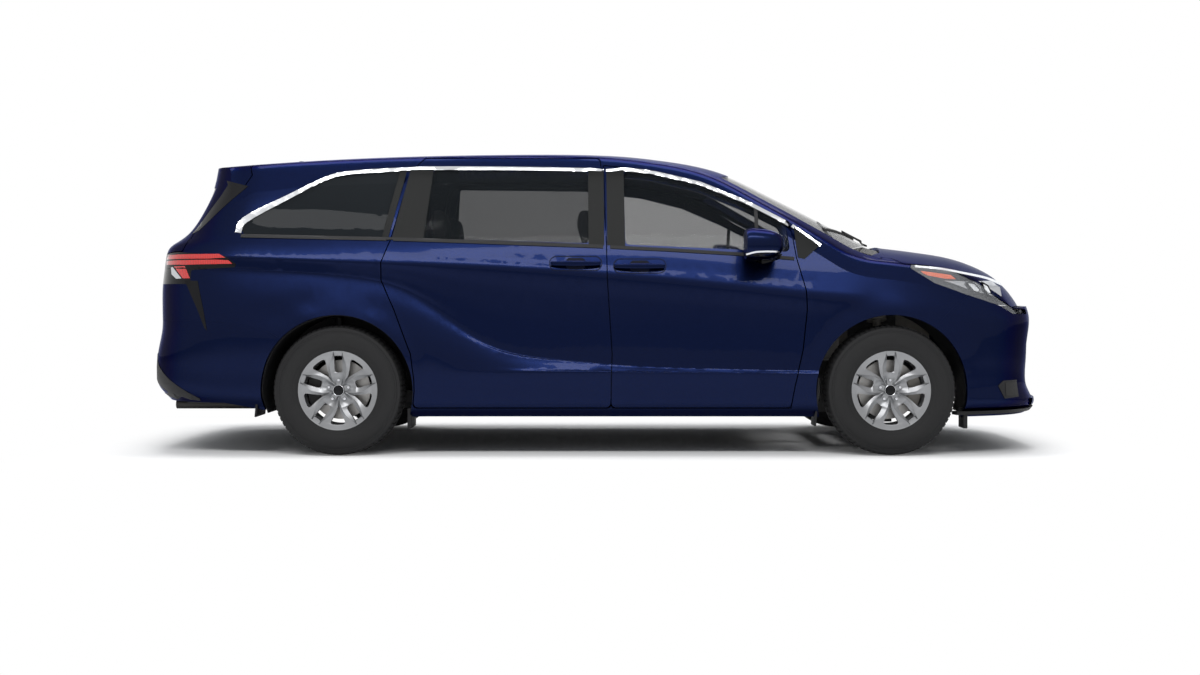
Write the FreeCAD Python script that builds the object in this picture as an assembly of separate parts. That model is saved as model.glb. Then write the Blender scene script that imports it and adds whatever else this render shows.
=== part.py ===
"""A three-row minivan with two hinged front doors, two sliding rear doors, a bonnet and a lift-up tailgate.

Frame: X forwards, Y to the left, Z up, in millimetres. The origin is on the ground, under the middle of the
overall length. The body is laid out like a ship's lines plan: long feature lines run from tail to nose, and the
skin is a smooth surface through them. Panels are cut from that skin at their real shut lines. Body stations are
shares of the wheelbase and the overhangs: -1 is the tail, 0 and 1 are the axles, 2 is the nose.
"""
import FreeCAD
import Part
import math
import os

V = FreeCAD.Vector

# Overall sizes of the vehicle.
WHEELBASE = 3060.0
FRONT_OVERHANG = 965.0
REAR_OVERHANG = 1149.0
WIDTH = 1994.0
HEIGHT = 1745.0
TRACK = 1730.0

LENGTH = FRONT_OVERHANG + WHEELBASE + REAR_OVERHANG
HALF = WIDTH / 2
NOSE_X = LENGTH / 2
TAIL_X = -LENGTH / 2
FRONT_AXLE_X = NOSE_X - FRONT_OVERHANG
REAR_AXLE_X = TAIL_X + REAR_OVERHANG

# Wheels and tyres.
TYRE_RADIUS = 362.0
TYRE_WIDTH = 235.0
RIM_RADIUS = 235.0
RIM_WIDTH = 196.0
ARCH_RADIUS = 419.0
FLARE_REACH = 100.0
FLARE_OUT = 13.0

# Walls, glass and gaps. A wall has one thickness low down and another at the window frames, its ends and its top.
DOOR_WALL = 104.0
FRAME_WALL = 46.0
GATE_WALL = 76.0
ROOF_WALL = 40.0
PANEL_WALL = 30.0
SEAL_ROOM = 10.0
PILLAR_LOW = 58.0
PILLAR_HIGH = 46.0
SHUT_GAP = 6.0
SEAM = 0.3
GLASS = 6.0
GLASS_INSET = 4.0
OVERRUN = 200.0
UNDERSIDE = 215.0
SKY = 1800.0

# The lines plan. Stations along the body, then each feature line's height and half breadth there,
# as shares of HEIGHT and of half the WIDTH.
STATION_SHARES = (-1, -0.6, -0.25, 0, 0.13, 0.26, 0.4, 0.55, 0.7, 0.85, 1, 1.3, 1.65, 2)
LINE_SHARES = {
    "sill": (
        (0.170, 0.155, 0.150, 0.135, 0.127, 0.127, 0.127, 0.127, 0.127, 0.127, 0.130, 0.135, 0.138, 0.142),
        (0.930, 0.935, 0.940, 0.925, 0.915, 0.912, 0.912, 0.912, 0.912, 0.914, 0.925, 0.935, 0.930, 0.920),
    ),
    "rocker": (
        (0.205, 0.188, 0.178, 0.160, 0.149, 0.149, 0.149, 0.149, 0.149, 0.149, 0.153, 0.158, 0.162, 0.166),
        (0.972, 0.974, 0.976, 0.968, 0.955, 0.953, 0.953, 0.953, 0.953, 0.956, 0.970, 0.972, 0.965, 0.955),
    ),
    "lower_crease": (
        (0.262, 0.262, 0.262, 0.263, 0.265, 0.267, 0.267, 0.265, 0.262, 0.260, 0.258, 0.255, 0.250, 0.245),
        (0.985, 0.988, 0.990, 0.990, 0.987, 0.984, 0.984, 0.984, 0.984, 0.984, 0.989, 0.986, 0.976, 0.965),
    ),
    "sweep": (
        (0.590, 0.583, 0.576, 0.565, 0.512, 0.368, 0.310, 0.288, 0.279, 0.274, 0.276, 0.275, 0.272, 0.268),
        (0.955, 0.954, 0.953, 0.951, 0.947, 0.946, 0.952, 0.960, 0.966, 0.972, 0.987, 0.985, 0.975, 0.965),
    ),
    "shoulder": (
        (0.641, 0.634, 0.626, 0.619, 0.609, 0.595, 0.578, 0.558, 0.534, 0.507, 0.484, 0.462, 0.445, 0.434),
        (0.952, 0.956, 0.959, 0.961, 0.965, 0.969, 0.973, 0.976, 0.979, 0.981, 0.986, 0.979, 0.966, 0.950),
    ),
    "belt": (
        (0.691, 0.697, 0.694, 0.691, 0.684, 0.677, 0.669, 0.659, 0.643, 0.624, 0.600, 0.570, 0.535, 0.505),
        (0.900, 0.900, 0.902, 0.906, 0.913, 0.919, 0.923, 0.925, 0.923, 0.918, 0.925, 0.915, 0.895, 0.880),
    ),
    "sky": (
        (1.060,) * 14,
        (0.585, 0.603, 0.612, 0.616, 0.616, 0.616, 0.616, 0.616, 0.612, 0.600, 0.580, 0.550, 0.520, 0.500),
    ),
}
LINE_ORDER = ("sill", "rocker", "lower_crease", "sweep", "shoulder", "belt", "sky")
# Rows of the skin between one line and the next, and how far the skin swells there.
ROWS_BETWEEN = (1, 2, 7, 6, 3, 4)
SWELL_SHARES = (
    (0.004,) * 14,
    (0.004,) * 14,
    (0.030, 0.032, 0.034, 0.034, 0.024, 0.006, 0, 0, 0, 0, 0, 0, 0, 0),
    (0, 0, 0, 0, -0.002, -0.007, -0.009, -0.009, -0.008, -0.006, 0.004, 0.006, 0.006, 0.006),
    (0.003,) * 14,
    (0.014,) * 14,
)
# The nose and the tail in the centre plane: share of HEIGHT, then share of the overhang.
NOSE_SHARES = (
    (0.08, 0.90), (0.125, 0.96), (0.145, 0.995), (0.16, 1.0), (0.18, 0.985), (0.21, 0.962), (0.29, 0.958),
    (0.37, 0.970), (0.43, 0.982), (0.47, 0.972), (0.505, 0.945), (0.545, 0.885), (0.60, 0.80), (0.69, 0.72),
    (1.06, 0.60),
)
TAIL_SHARES = (
    (0.08, 0.88), (0.15, 0.915), (0.18, 0.955), (0.215, 0.993), (0.28, 1.0), (0.335, 0.992), (0.375, 0.976),
    (0.43, 0.970), (0.54, 0.974), (0.60, 0.967), (0.645, 0.957), (0.672, 0.938), (0.711, 0.849),
    (0.762, 0.802), (0.8115, 0.762), (0.85, 0.740), (0.92, 0.727), (1.06, 0.690),
)
NOSE_CAP_B = 1.08
TAIL_CAP_B = -0.25
NOSE_ROUNDNESS = 3.0
TAIL_ROUNDNESS = 3.7
CAP_COLUMNS = 13
ARCH_PITCH = 46.0
DOOR_PITCH = 200.0
TOP_PITCH = 115.0
TOP_CUT_B = (0.60, 1.15)
# The centre line over roof, windscreen and bonnet: body station, then share of HEIGHT.
CROWN_SHARES = (
    (-1.15, 0.895), (-0.75, 0.9444), (-0.489, 0.9628), (-0.054, 0.9828), (0.143, 0.9943), (0.339, 1.0),
    (0.470, 0.9983), (0.535, 0.9926), (0.601, 0.9799), (0.666, 0.9616), (0.731, 0.9284), (0.797, 0.8739),
    (0.878, 0.8023), (0.944, 0.7415), (0.980, 0.7083), (1.019, 0.6877), (1.122, 0.6774), (1.247, 0.6682),
    (1.495, 0.6476), (1.651, 0.6218), (1.765, 0.5903), (1.858, 0.5501), (1.920, 0.5043), (1.972, 0.447),
    (2.034, 0.355), (2.15, 0.2),
)
SETBACK = 263.0
CROWN_DROP = 124.0
EDGE_ROLL = 66.0
ROLL_END = 58.0


def at(b):
    """Distance along the vehicle of a body station."""
    if b < 0:
        return REAR_AXLE_X + b * REAR_OVERHANG
    if b > 1:
        return FRONT_AXLE_X + (b - 1) * FRONT_OVERHANG
    return REAR_AXLE_X + b * WHEELBASE


def smooth_curve(points):
    """A natural cubic spline through (place, value) points, as a function that runs on straight past its ends."""
    xs = [p[0] for p in points]
    ys = [p[1] for p in points]
    n = len(xs)
    gaps = [xs[i + 1] - xs[i] for i in range(n - 1)]
    slopes = [(ys[i + 1] - ys[i]) / gaps[i] for i in range(n - 1)]
    upper = [0.0] * n
    bend = [0.0] * n
    for i in range(1, n - 1):
        pivot = 2 * (gaps[i - 1] + gaps[i]) - gaps[i - 1] * upper[i - 1]
        upper[i] = gaps[i] / pivot
        bend[i] = (6 * (slopes[i] - slopes[i - 1]) - gaps[i - 1] * bend[i - 1]) / pivot
    for i in range(n - 2, 0, -1):
        bend[i] -= upper[i] * bend[i + 1]

    def value(x):
        if x <= xs[0]:
            return ys[0] + (x - xs[0]) * (slopes[0] - gaps[0] * bend[1] / 6)
        if x >= xs[-1]:
            return ys[-1] + (x - xs[-1]) * (slopes[-1] + gaps[-1] * bend[-2] / 6)
        i = max(k for k in range(n - 1) if xs[k] <= x)
        h = gaps[i]
        a = (xs[i + 1] - x) / h
        c = 1 - a
        return a * ys[i] + c * ys[i + 1] + ((a ** 3 - a) * bend[i] + (c ** 3 - c) * bend[i + 1]) * h * h / 6

    return value


def smooth_step(t):
    """Eases from 0 to 1 as t runs from 0 to 1."""
    t = min(1.0, max(0.0, t))
    return t * t * (3 - 2 * t)


def line_table(shares, size):
    """One smooth curve along the body from a row of shares."""
    return smooth_curve([(at(b), s * size) for b, s in zip(STATION_SHARES, shares)])


HEIGHT_OF = {name: line_table(LINE_SHARES[name][0], HEIGHT) for name in LINE_ORDER}
BREADTH_OF = {name: line_table(LINE_SHARES[name][1], HALF) for name in LINE_ORDER}
SWELL_OF = [line_table(row, HALF) for row in SWELL_SHARES]
NOSE_OF = smooth_curve([(h * HEIGHT, FRONT_AXLE_X + s * FRONT_OVERHANG) for h, s in NOSE_SHARES])
TAIL_OF = smooth_curve([(h * HEIGHT, REAR_AXLE_X - s * REAR_OVERHANG) for h, s in TAIL_SHARES])
CROWN_OF = smooth_curve([(at(b), h * HEIGHT) for b, h in CROWN_SHARES])


def flare(x, z):
    """How far the skin stands out round a wheel arch."""
    out = 0.0
    for axle in (FRONT_AXLE_X, REAR_AXLE_X):
        r = math.hypot(x - axle, z - TYRE_RADIUS)
        out += FLARE_OUT * (1 - smooth_step((r - ARCH_RADIUS) / FLARE_REACH))
    return out


def section(x, low_wall, high_wall):
    """The rows of (half breadth, height) up the body side at x, moved in by the wall."""
    rows = []
    first = LINE_ORDER[0]
    rows.append((BREADTH_OF[first](x) - low_wall, UNDERSIDE - OVERRUN / 2))
    rows.append((BREADTH_OF[first](x) - low_wall, UNDERSIDE - OVERRUN / 8))
    shoulder = HEIGHT_OF["shoulder"](x)
    belt = HEIGHT_OF["belt"](x)
    for k, count in enumerate(ROWS_BETWEEN):
        low, high = LINE_ORDER[k], LINE_ORDER[k + 1]
        steps = count + (2 if high == LINE_ORDER[-1] else 0)
        for i in range(steps):
            t = i / count
            z = HEIGHT_OF[low](x) * (1 - t) + HEIGHT_OF[high](x) * t
            y = BREADTH_OF[low](x) * (1 - t) + BREADTH_OF[high](x) * t
            y += SWELL_OF[k](x) * 4 * t * (1 - t) + flare(x, z)
            share = smooth_step((z - shoulder) / (belt - shoulder) * 3 / 4)
            rows.append((y - low_wall * (1 - share) - high_wall * share, z))
    return rows


def half_breadth(x, z):
    """Half breadth of the body's outside at a place along it and a height, nose and tail curves included."""
    start, end, power = x, None, 1.0
    if x > at(NOSE_CAP_B):
        start, end, power, tip = at(NOSE_CAP_B), NOSE_OF(z), NOSE_ROUNDNESS, NOSE_X
    elif x < at(TAIL_CAP_B):
        start, end, power, tip = at(TAIL_CAP_B), TAIL_OF(z), TAIL_ROUNDNESS, TAIL_X
    along = 0.0
    guide = x
    if end is not None:
        along = min(1.0, (x - start) / (end - start))
        guide = start + (tip - start) * along
    rows = section(guide, 0, 0)
    breadth = rows[0][0]
    for (y0, z0), (y1, z1) in zip(rows, rows[1:]):
        if z0 <= z <= z1:
            breadth = y0 + (y1 - y0) * (z - z0) / (z1 - z0)
    return breadth * (1 - along ** power) ** (1 / power)


def mirrored(column):
    """The same points on the other side of the centre plane."""
    return [V(p.x, -p.y, p.z) for p in column]


def steps_between(start, end, pitch):
    """Evenly spaced places from start up to, but not at, the end."""
    count = math.ceil((end - start) / pitch)
    return [start + (end - start) * i / count for i in range(count)]


def side_grid(low_wall, high_wall, end_wall):
    """Points of the right-hand skin, column by column round the plan from the tail's centre to the nose's.

    The second result is the list of columns where one face of the skin ends and the next begins.
    """
    tail_x, nose_x = at(TAIL_CAP_B), at(NOSE_CAP_B)
    clear = ARCH_RADIUS + FLARE_REACH * 3 / 2
    columns = [(TAIL_OF, math.pi / 2 * (1 - i / CAP_COLUMNS)) for i in range(CAP_COLUMNS)]
    cuts = [len(columns)]
    runs = (
        (tail_x, REAR_AXLE_X + clear, ARCH_PITCH), (REAR_AXLE_X + clear, FRONT_AXLE_X - clear, DOOR_PITCH),
        (FRONT_AXLE_X - clear, nose_x, ARCH_PITCH),
    )
    for start, end, pitch in runs:
        columns += [(None, x) for x in steps_between(start, end, pitch)]
        cuts.append(len(columns))
    columns += [(NOSE_OF, math.pi / 2 * i / CAP_COLUMNS) for i in range(CAP_COLUMNS + 1)]
    grid = []
    for end_of, place in columns:
        if end_of is None:
            grid.append([V(place, -y, z) for y, z in section(place, low_wall, high_wall)])
            continue
        if end_of is TAIL_OF:
            start, tip, power, inwards = tail_x, TAIL_X, 2 / TAIL_ROUNDNESS, end_wall
        else:
            start, tip, power, inwards = nose_x, NOSE_X, 2 / NOSE_ROUNDNESS, -end_wall
        along = math.sin(place) ** power
        across = 0.0 if along > 1 - 1e-9 else math.cos(place) ** power
        column = []
        for y, z in section(start + (tip - start) * along, low_wall, high_wall):
            column.append(V(start + (end_of(z) + inwards - start) * along, -y * across, z))
        grid.append(column)
    grid = [mirrored(grid[2]), mirrored(grid[1])] + grid + [mirrored(grid[-2]), mirrored(grid[-3])]
    return grid, [cut + 2 for cut in cuts]


def top_grid(wall):
    """Points of the upper skin over roof, windscreen and bonnet, column by column from tail to nose."""
    first, last = at(CROWN_SHARES[0][0]), at(CROWN_SHARES[-1][0])
    roll_low, roll_high = at(-0.55), at(1.64)
    grid = []
    centres = steps_between(first, last, TOP_PITCH) + [last]
    for centre in centres:
        top = CROWN_OF(centre)
        edge = HALF * 0.75
        for _ in range(5):
            x = centre - SETBACK * (edge / HALF) ** 2
            z = top - CROWN_DROP * (edge / HALF) ** 2
            edge = half_breadth(min(roll_high, max(roll_low, x)), z - EDGE_ROLL / 3)
        start = edge - EDGE_ROLL
        column = []
        for share in (-0.4, -0.2, 0, 0.2, 0.45, 0.7, 0.88, 1):
            y = start * share
            column.append(V(centre - SETBACK * (y / HALF) ** 2, -y, top - CROWN_DROP * (y / HALF) ** 2 - wall))
        lean = math.atan(2 * CROWN_DROP * start / HALF ** 2)
        low = column[-1].z
        for share in (0.3, 0.6, 0.85, 1):
            turn = lean + (math.radians(ROLL_END) - lean) * share
            y = start + EDGE_ROLL * (math.sin(turn) - math.sin(lean))
            z = low - EDGE_ROLL * (math.cos(lean) - math.cos(turn))
            column.append(V(centre - SETBACK * (y / HALF) ** 2, -y, z))
        slope = math.tan(math.radians(ROLL_END))
        for reach in (EDGE_ROLL / 2, 2 * EDGE_ROLL, 4 * EDGE_ROLL):
            column.append(V(column[-1].x, -(y + reach), z - reach * slope))
        grid.append(column)
    return grid, [sum(centre < at(b) for centre in centres) for b in TOP_CUT_B]


def spread(rows):
    """Chord-length places for the points of several parallel rows, averaged, from 0 to 1."""
    places = [0.0] * len(rows[0])
    for row in rows:
        steps = [row[i + 1].distanceToPoint(row[i]) for i in range(len(row) - 1)]
        run = 0.0
        for i, step in enumerate(steps):
            run += step
            places[i + 1] += run / sum(steps) / len(rows)
    return places


def curve_through(points, places):
    curve = Part.BSplineCurve()
    curve.interpolate(Points=points, Parameters=places)
    return curve


def faces_through(grid, cuts):
    """A smooth skin that passes exactly through a grid of points, as faces that meet at the cut columns."""
    across = spread(grid)
    along = spread([list(row) for row in zip(*grid)])
    columns = [curve_through(column, across) for column in grid]
    poles = list(zip(*[curve.getPoles() for curve in columns]))
    rows = [curve_through(list(row), along) for row in poles]
    surface = Part.BSplineSurface()
    surface.buildFromPolesMultsKnots(
        [list(line) for line in zip(*[row.getPoles() for row in rows])],
        rows[0].getMultiplicities(), columns[0].getMultiplicities(),
        rows[0].getKnots(), columns[0].getKnots(), False, False, 3, 3,
    )
    faces = []
    ends = [0] + list(cuts) + [len(grid) - 1]
    for start, end in zip(ends, ends[1:]):
        piece = surface.copy()
        piece.segment(along[start], along[end], across[0], across[-1])
        faces.append(piece.toShape())
    return faces


def cap_face(wall, of_nose):
    """The skin of the whole nose or tail behind a wall, from one side of the body round to the other."""
    grid, cuts = side_grid(wall, wall, wall)
    half = grid[cuts[-1] - 2:-2] if of_nose else grid[2:cuts[0] + 3][::-1]
    full = half + [mirrored(column) for column in half[-2::-1]]
    return faces_through(full, [2, len(full) - 3])[1]


def piece_at(solid, faces, inside):
    """The part of a solid that holds a point, once faces have divided it."""
    pieces = solid.generalFuse(faces)[0].Solids
    return max((p for p in pieces if p.isInside(inside, 1, False)), key=lambda p: p.Volume)


def body_space(low_wall, high_wall, end_wall, top_wall):
    """The right half of the body's outside, or of a space inside it behind walls of the given thicknesses."""
    reach = LENGTH + 2 * OVERRUN
    box = Part.makeBox(reach, HALF + OVERRUN, SKY - UNDERSIDE, V(-reach / 2, -HALF - OVERRUN, UNDERSIDE))
    inside = V(0, -HALF / 3, HEIGHT / 2)
    half = piece_at(box, faces_through(*side_grid(low_wall, high_wall, end_wall)), inside)
    return piece_at(half, faces_through(*top_grid(top_wall)), inside)


# Shut lines and openings. Side outlines are (body station, share of HEIGHT), end outlines are (share of half the
# WIDTH, share of HEIGHT) and plan outlines are (body station, share of half the WIDTH).
DOOR_FRONT_SHARES = (
    (0.8186, 0.1524), (0.8261, 0.2252), (0.8405, 0.3364), (0.8477, 0.4630), (0.8458, 0.5261), (0.8310, 0.6281),
    (0.8216, 0.7473),
)
DOOR_TOP_SHARES = ((0.7422, 0.8189), (0.6598, 0.8797), (0.5670, 0.9192), (0.4850, 0.9341))
PILLAR_LINE_SHARES = (
    (0.4801, 0.9341), (0.4859, 0.6648), (0.4869, 0.5685), (0.4935, 0.3874), (0.4958, 0.3238), (0.4944, 0.2521),
    (0.4935, 0.1524),
)
SLIDER_TOP_SHARES = ((0.4745, 0.9590), (0.1467, 0.9590))
SLIDER_REAR_SHARES = (
    (0.1245, 0.9175), (0.0928, 0.6865), (0.0778, 0.6132), (0.0778, 0.5553), (0.1020, 0.4648), (0.1333, 0.3238),
    (0.1389, 0.2413), (0.1392, 0.2074), (0.1359, 0.1524),
)
FRONT_WINDOW_SHARES = (
    (0.5199, 0.6716), (0.5176, 0.9169), (0.5670, 0.9095), (0.6598, 0.8690), (0.7422, 0.8072), (0.8140, 0.7420),
    (0.8200, 0.6480),
)
SLIDER_WINDOW_SHARES = ((0.4556, 0.6751), (0.4510, 0.9140), (0.1644, 0.9200), (0.1399, 0.6923))
QUARTER_WINDOW_SHARES = (
    (0.0827, 0.6911), (0.1056, 0.9169), (-0.0540, 0.8974), (-0.2585, 0.8258), (-0.4587, 0.7519),
    (-0.4847, 0.7232), (-0.4674, 0.7037),
)
# Where the front wing ends: up the door's edge, along the foot of the sail glass, and over the pillar's foot.
WING_REAR_SHARES = ((0.8440, 0.6220), (0.8775, 0.6665), (1.05, 0.6665))
WING_FRONT_SHARES = ((1.454, 0.5106), (1.366, 0.4756), (1.303, 0.4440), (1.272, 0.4251), (1.255, 0.4011))
BONNET_EDGE_SHARES = (
    (0.60, 0.55), (0.970, 0.58), (1.001, 0.6464), (1.089, 0.6109), (1.238, 0.6052), (1.391, 0.5862), (1.545, 0.5479),
    (1.664, 0.4963), (1.743, 0.4711), (2.05, 0.4785),
)
LAMP_SHARES = (
    (1.089, 0.6094), (1.239, 0.6033), (1.391, 0.5845), (1.545, 0.5462), (1.664, 0.4947), (1.743, 0.4680),
    (1.880, 0.4640), (1.880, 0.4480), (1.743, 0.4500), (1.659, 0.4760), (1.454, 0.5106), (1.259, 0.5487),
)
TAIL_LAMP_SHARES = (
    (-0.990, 0.6490), (-0.801, 0.6490), (-0.545, 0.6342), (-0.472, 0.5992), (-0.722, 0.5904), (-0.722, 0.5456),
    (-0.990, 0.5471),
)
TAIL_BUMPER_SHARES = ((-0.261, 0.3720), (-0.310, 0.3907), (-0.432, 0.4158), (-0.634, 0.4282), (-1.1, 0.4282))
GATE_SIDE_SHARES = (
    (-0.476, 1.02), (-0.476, 0.9250), (-0.463, 0.9026), (-0.491, 0.8692), (-0.739, 0.7277), (-0.769, 0.6687),
    (-0.780, 0.6440), (-0.750, 0.28), (-1.15, 0.28), (-1.15, 1.02),
)
GATE_END_SHARES = (
    (-0.15, 0.3270), (0.562, 0.3270), (0.612, 0.3550), (0.642, 0.4590), (0.657, 0.5470), (0.657, 0.6450),
    (0.860, 0.6520), (0.850, 0.7300), (0.830, 0.9100), (0.800, 0.9600), (0.800, 1.02), (-0.15, 1.02),
)
GATE_WINDOW_SHARES = ((-0.15, 0.690), (0.600, 0.690), (0.655, 0.705), (0.610, 0.868), (-0.15, 0.882))
GATE_LAMP_SHARES = ((0.150, 0.585), (0.562, 0.562), (0.640, 0.5500), (0.640, 0.6430), (0.562, 0.6430), (0.150, 0.622))
ROOF_SHARES = (
    (-0.476, -0.1), (-0.476, 0.657), (0.676, 0.657), (0.699, 0.622), (0.718, 0.400), (0.728, 0.200), (0.732, 0),
    (0.728, -0.1),
)
SCREEN_SHARES = (
    (0.732, 0), (0.728, 0.200), (0.718, 0.400), (0.699, 0.622), (0.953, 0.737), (0.984, 0.400), (0.997, 0.200),
    (1.0, 0), (1.0, -0.1), (0.732, -0.1),
)
COWL_SHARES = (
    (1.0, 0), (0.997, 0.200), (0.984, 0.400), (0.953, 0.737), (0.975, 0.765), (1.005, 0.600), (1.037, 0.400),
    (1.070, 0.200), (1.081, 0), (1.081, -0.1), (1.0, -0.1),
)
BONNET_PLAN_SHARES = (
    (1.081, 0), (1.070, 0.200), (1.037, 0.400), (1.005, 0.600), (0.975, 0.765), (0.985, 0.800), (1.000, 0.860),
    (1.081, 1.1), (2.2, 1.1),
)
CORNER = 26.0
# The roller brackets that carry a sliding door: body station and share of HEIGHT.
ROLLER_SHARES = ((0.44, 0.162), (0.16, 0.162), (0.44, 0.930), (0.16, 0.930))


def across(shares, view):
    """The whole outline from the points of its right half, in the end or plan view."""
    if view == "end":
        return shares + tuple((-y, h) for y, h in shares[::-1])
    return shares + tuple((b, -y) for b, y in shares[:0:-1])


def map_shares(shares, view):
    """Outline points in millimetres from shares in one of the three views."""
    if view == "side":
        return [(at(b), h * HEIGHT) for b, h in shares]
    if view == "end":
        return [(-y * HALF, h * HEIGHT) for y, h in shares]
    return [(at(b), -y * HALF) for b, y in shares]


def crossing(side, other):
    """Where two lines meet, each a (point, direction); lines in one run meet where the second one starts."""
    (px, py), (dx, dy) = side
    (qx, qy), (ex, ey) = other
    turn = dx * ey - dy * ex
    if abs(turn) < 1e-6:
        return qx, qy
    reach = ((qx - px) * ey - (qy - py) * ex) / turn
    return px + dx * reach, py + dy * reach


def grown(points, reach):
    """An outline with every side moved outwards by reach, without the sides that would turn over."""
    count = len(points)
    area = sum(points[i - 1][0] * points[i][1] - points[i][0] * points[i - 1][1] for i in range(count))
    out = math.copysign(1, area) * reach
    sides = []
    for i in range(count):
        (ax, ay), (bx, by) = points[i - 1], points[i]
        length = math.hypot(bx - ax, by - ay)
        along = ((bx - ax) / length, (by - ay) / length)
        sides.append(((ax + out * along[1], ay - out * along[0]), along))
    while True:
        moved = [crossing(side, sides[(i + 1) % len(sides)]) for i, side in enumerate(sides)]
        runs = [
            (moved[i][0] - moved[i - 1][0]) * along[0] + (moved[i][1] - moved[i - 1][1]) * along[1]
            for i, (_, along) in enumerate(sides)
        ]
        if min(runs) > 0:
            return moved
        sides.pop(runs.index(min(runs)))


def rounded(points, radius):
    """Straight runs and arcs of an outline: (start, middle or None, end) for each."""
    count = len(points)
    corners = []
    for i in range(count):
        before, here, after = points[i - 1], points[i], points[(i + 1) % count]
        a = V(before[0] - here[0], before[1] - here[1], 0)
        c = V(after[0] - here[0], after[1] - here[1], 0)
        apex = V(here[0], here[1], 0)
        half = a.getAngle(c) / 2
        reach = min(radius / math.tan(half), 0.45 * a.Length, 0.45 * c.Length)
        if reach < 1 or half > math.pi / 2 - 0.01:
            corners.append((apex, None, apex))
            continue
        a.normalize()
        c.normalize()
        bisector = (a + c).normalize()
        size = reach * math.tan(half)
        middle = apex + bisector * (size / math.sin(half) - size)
        corners.append((apex + a * reach, middle, apex + c * reach))
    runs = []
    for i, (start, middle, end) in enumerate(corners):
        if middle is not None:
            runs.append((start, middle, end))
        follows = corners[(i + 1) % count][0]
        if end.distanceToPoint(follows) > 1e-6:
            runs.append((end, None, follows))
    return runs


def slab(points, view, start, end, radius=0.0):
    """A solid from an outline in the side, end or plan view, between two planes square to that view."""
    def place(p):
        if view == "side":
            return V(p.x, start, p.y)
        if view == "end":
            return V(start, p.x, p.y)
        return V(p.x, p.y, start)

    edges = []
    for first, middle, last in rounded(points, radius):
        if middle is None:
            edges.append(Part.makeLine(place(first), place(last)))
        else:
            edges.append(Part.Arc(place(first), place(middle), place(last)).toShape())
    step = {"side": V(0, end - start, 0), "end": V(end - start, 0, 0), "plan": V(0, 0, end - start)}[view]
    return Part.Face(Part.Wire(edges)).extrude(step)


def side_slab(points, radius=0.0, depth=HALF * 0.72):
    """A side-view outline run through the right-hand wall."""
    return slab(points, "side", -HALF - OVERRUN, -HALF + depth, radius)


def loop(*runs):
    """One outline from several runs of points, with no point twice."""
    points = []
    for run in runs:
        points.extend(p for p in run if p not in points)
    return points


def both_sides(half):
    """A right-hand solid with its mirror image, as two solids that do not touch."""
    return Part.makeCompound([half, half.mirror(V(), V(0, 1, 0))])


def whole(half):
    """A centre panel from its right half."""
    return half.fuse(half.mirror(V(), V(0, 1, 0))).removeSplitter()


def mirror_of(shape):
    return shape.mirror(V(), V(0, 1, 0))


def without(shape, *tools):
    """A solid less several others, one after the other."""
    for tool in tools:
        shape = shape.cut(tool)
    return shape


def biggest(shape):
    return max(shape.Solids, key=lambda s: s.Volume)


def tilted_cylinder(radius, start, end):
    axis = end - start
    return Part.makeCylinder(radius, axis.Length, start, axis)


def block(low, high):
    return Part.makeBox(high.x - low.x, high.y - low.y, high.z - low.z, low)


def arch(axle, radius, inner):
    """The space of a wheel arch on the right, open to the outside."""
    return Part.makeCylinder(radius, HALF + OVERRUN - inner, V(axle, -inner, TYRE_RADIUS), V(0, -1, 0))


# Hinges of the doors, the bonnet and the tailgate.
DOOR_HINGE_X = 1040.0
DOOR_HINGE_Y = 963.0
DOOR_HINGE_HEIGHTS = (435.0, 880.0)
DOOR_SWEEP = 120.0
BONNET_HINGE = V(1540.0, -662.0, 1105.0)
GATE_HINGE = V(-1985.2, -160.0, 1676.0)
HINGE_RADIUS = 7.0
HINGE_LENGTH = 60.0
HINGE_ROOM = 3.0

# Suspension, brakes and hubs.
KINGPIN_LOW = V(FRONT_AXLE_X + 8.6, -800.0, 200.0)
KINGPIN_HIGH = V(FRONT_AXLE_X - 27.4, -620.0, 880.0)
SPINDLE_RADIUS = 19.7
DISC_RADIUS = 165.0
DISC_HAT_RADIUS = 80.0
DISC_THICK = 22.0
DISC_OFFSET = 19.0
WHEEL_FACE = 20.0
FLOOR_TOP = 340.0
FLOOR_THICK = 26.0
RAIL_OUTSIDE = 455.0
RAIL_INSIDE = 400.0
REAR_RAIL_OUTSIDE = 540.0
REAR_RAIL_INSIDE = 480.0
TRACK_ARM = 80.0


def shut_lines():
    """The side outlines of the front door and of the sliding door, in millimetres."""
    door = map_shares(loop(DOOR_FRONT_SHARES, DOOR_TOP_SHARES, PILLAR_LINE_SHARES), "side")
    slider = map_shares(loop(SLIDER_TOP_SHARES, SLIDER_REAR_SHARES, PILLAR_LINE_SHARES[:0:-1]), "side")
    return door, slider


def pane(outer, tool):
    """Glass that follows the body's outside, a little inside it."""
    return outer.translated(V(0, GLASS_INSET, 0)).common(tool).cut(outer.translated(V(0, GLASS_INSET + GLASS, 0)))


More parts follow.
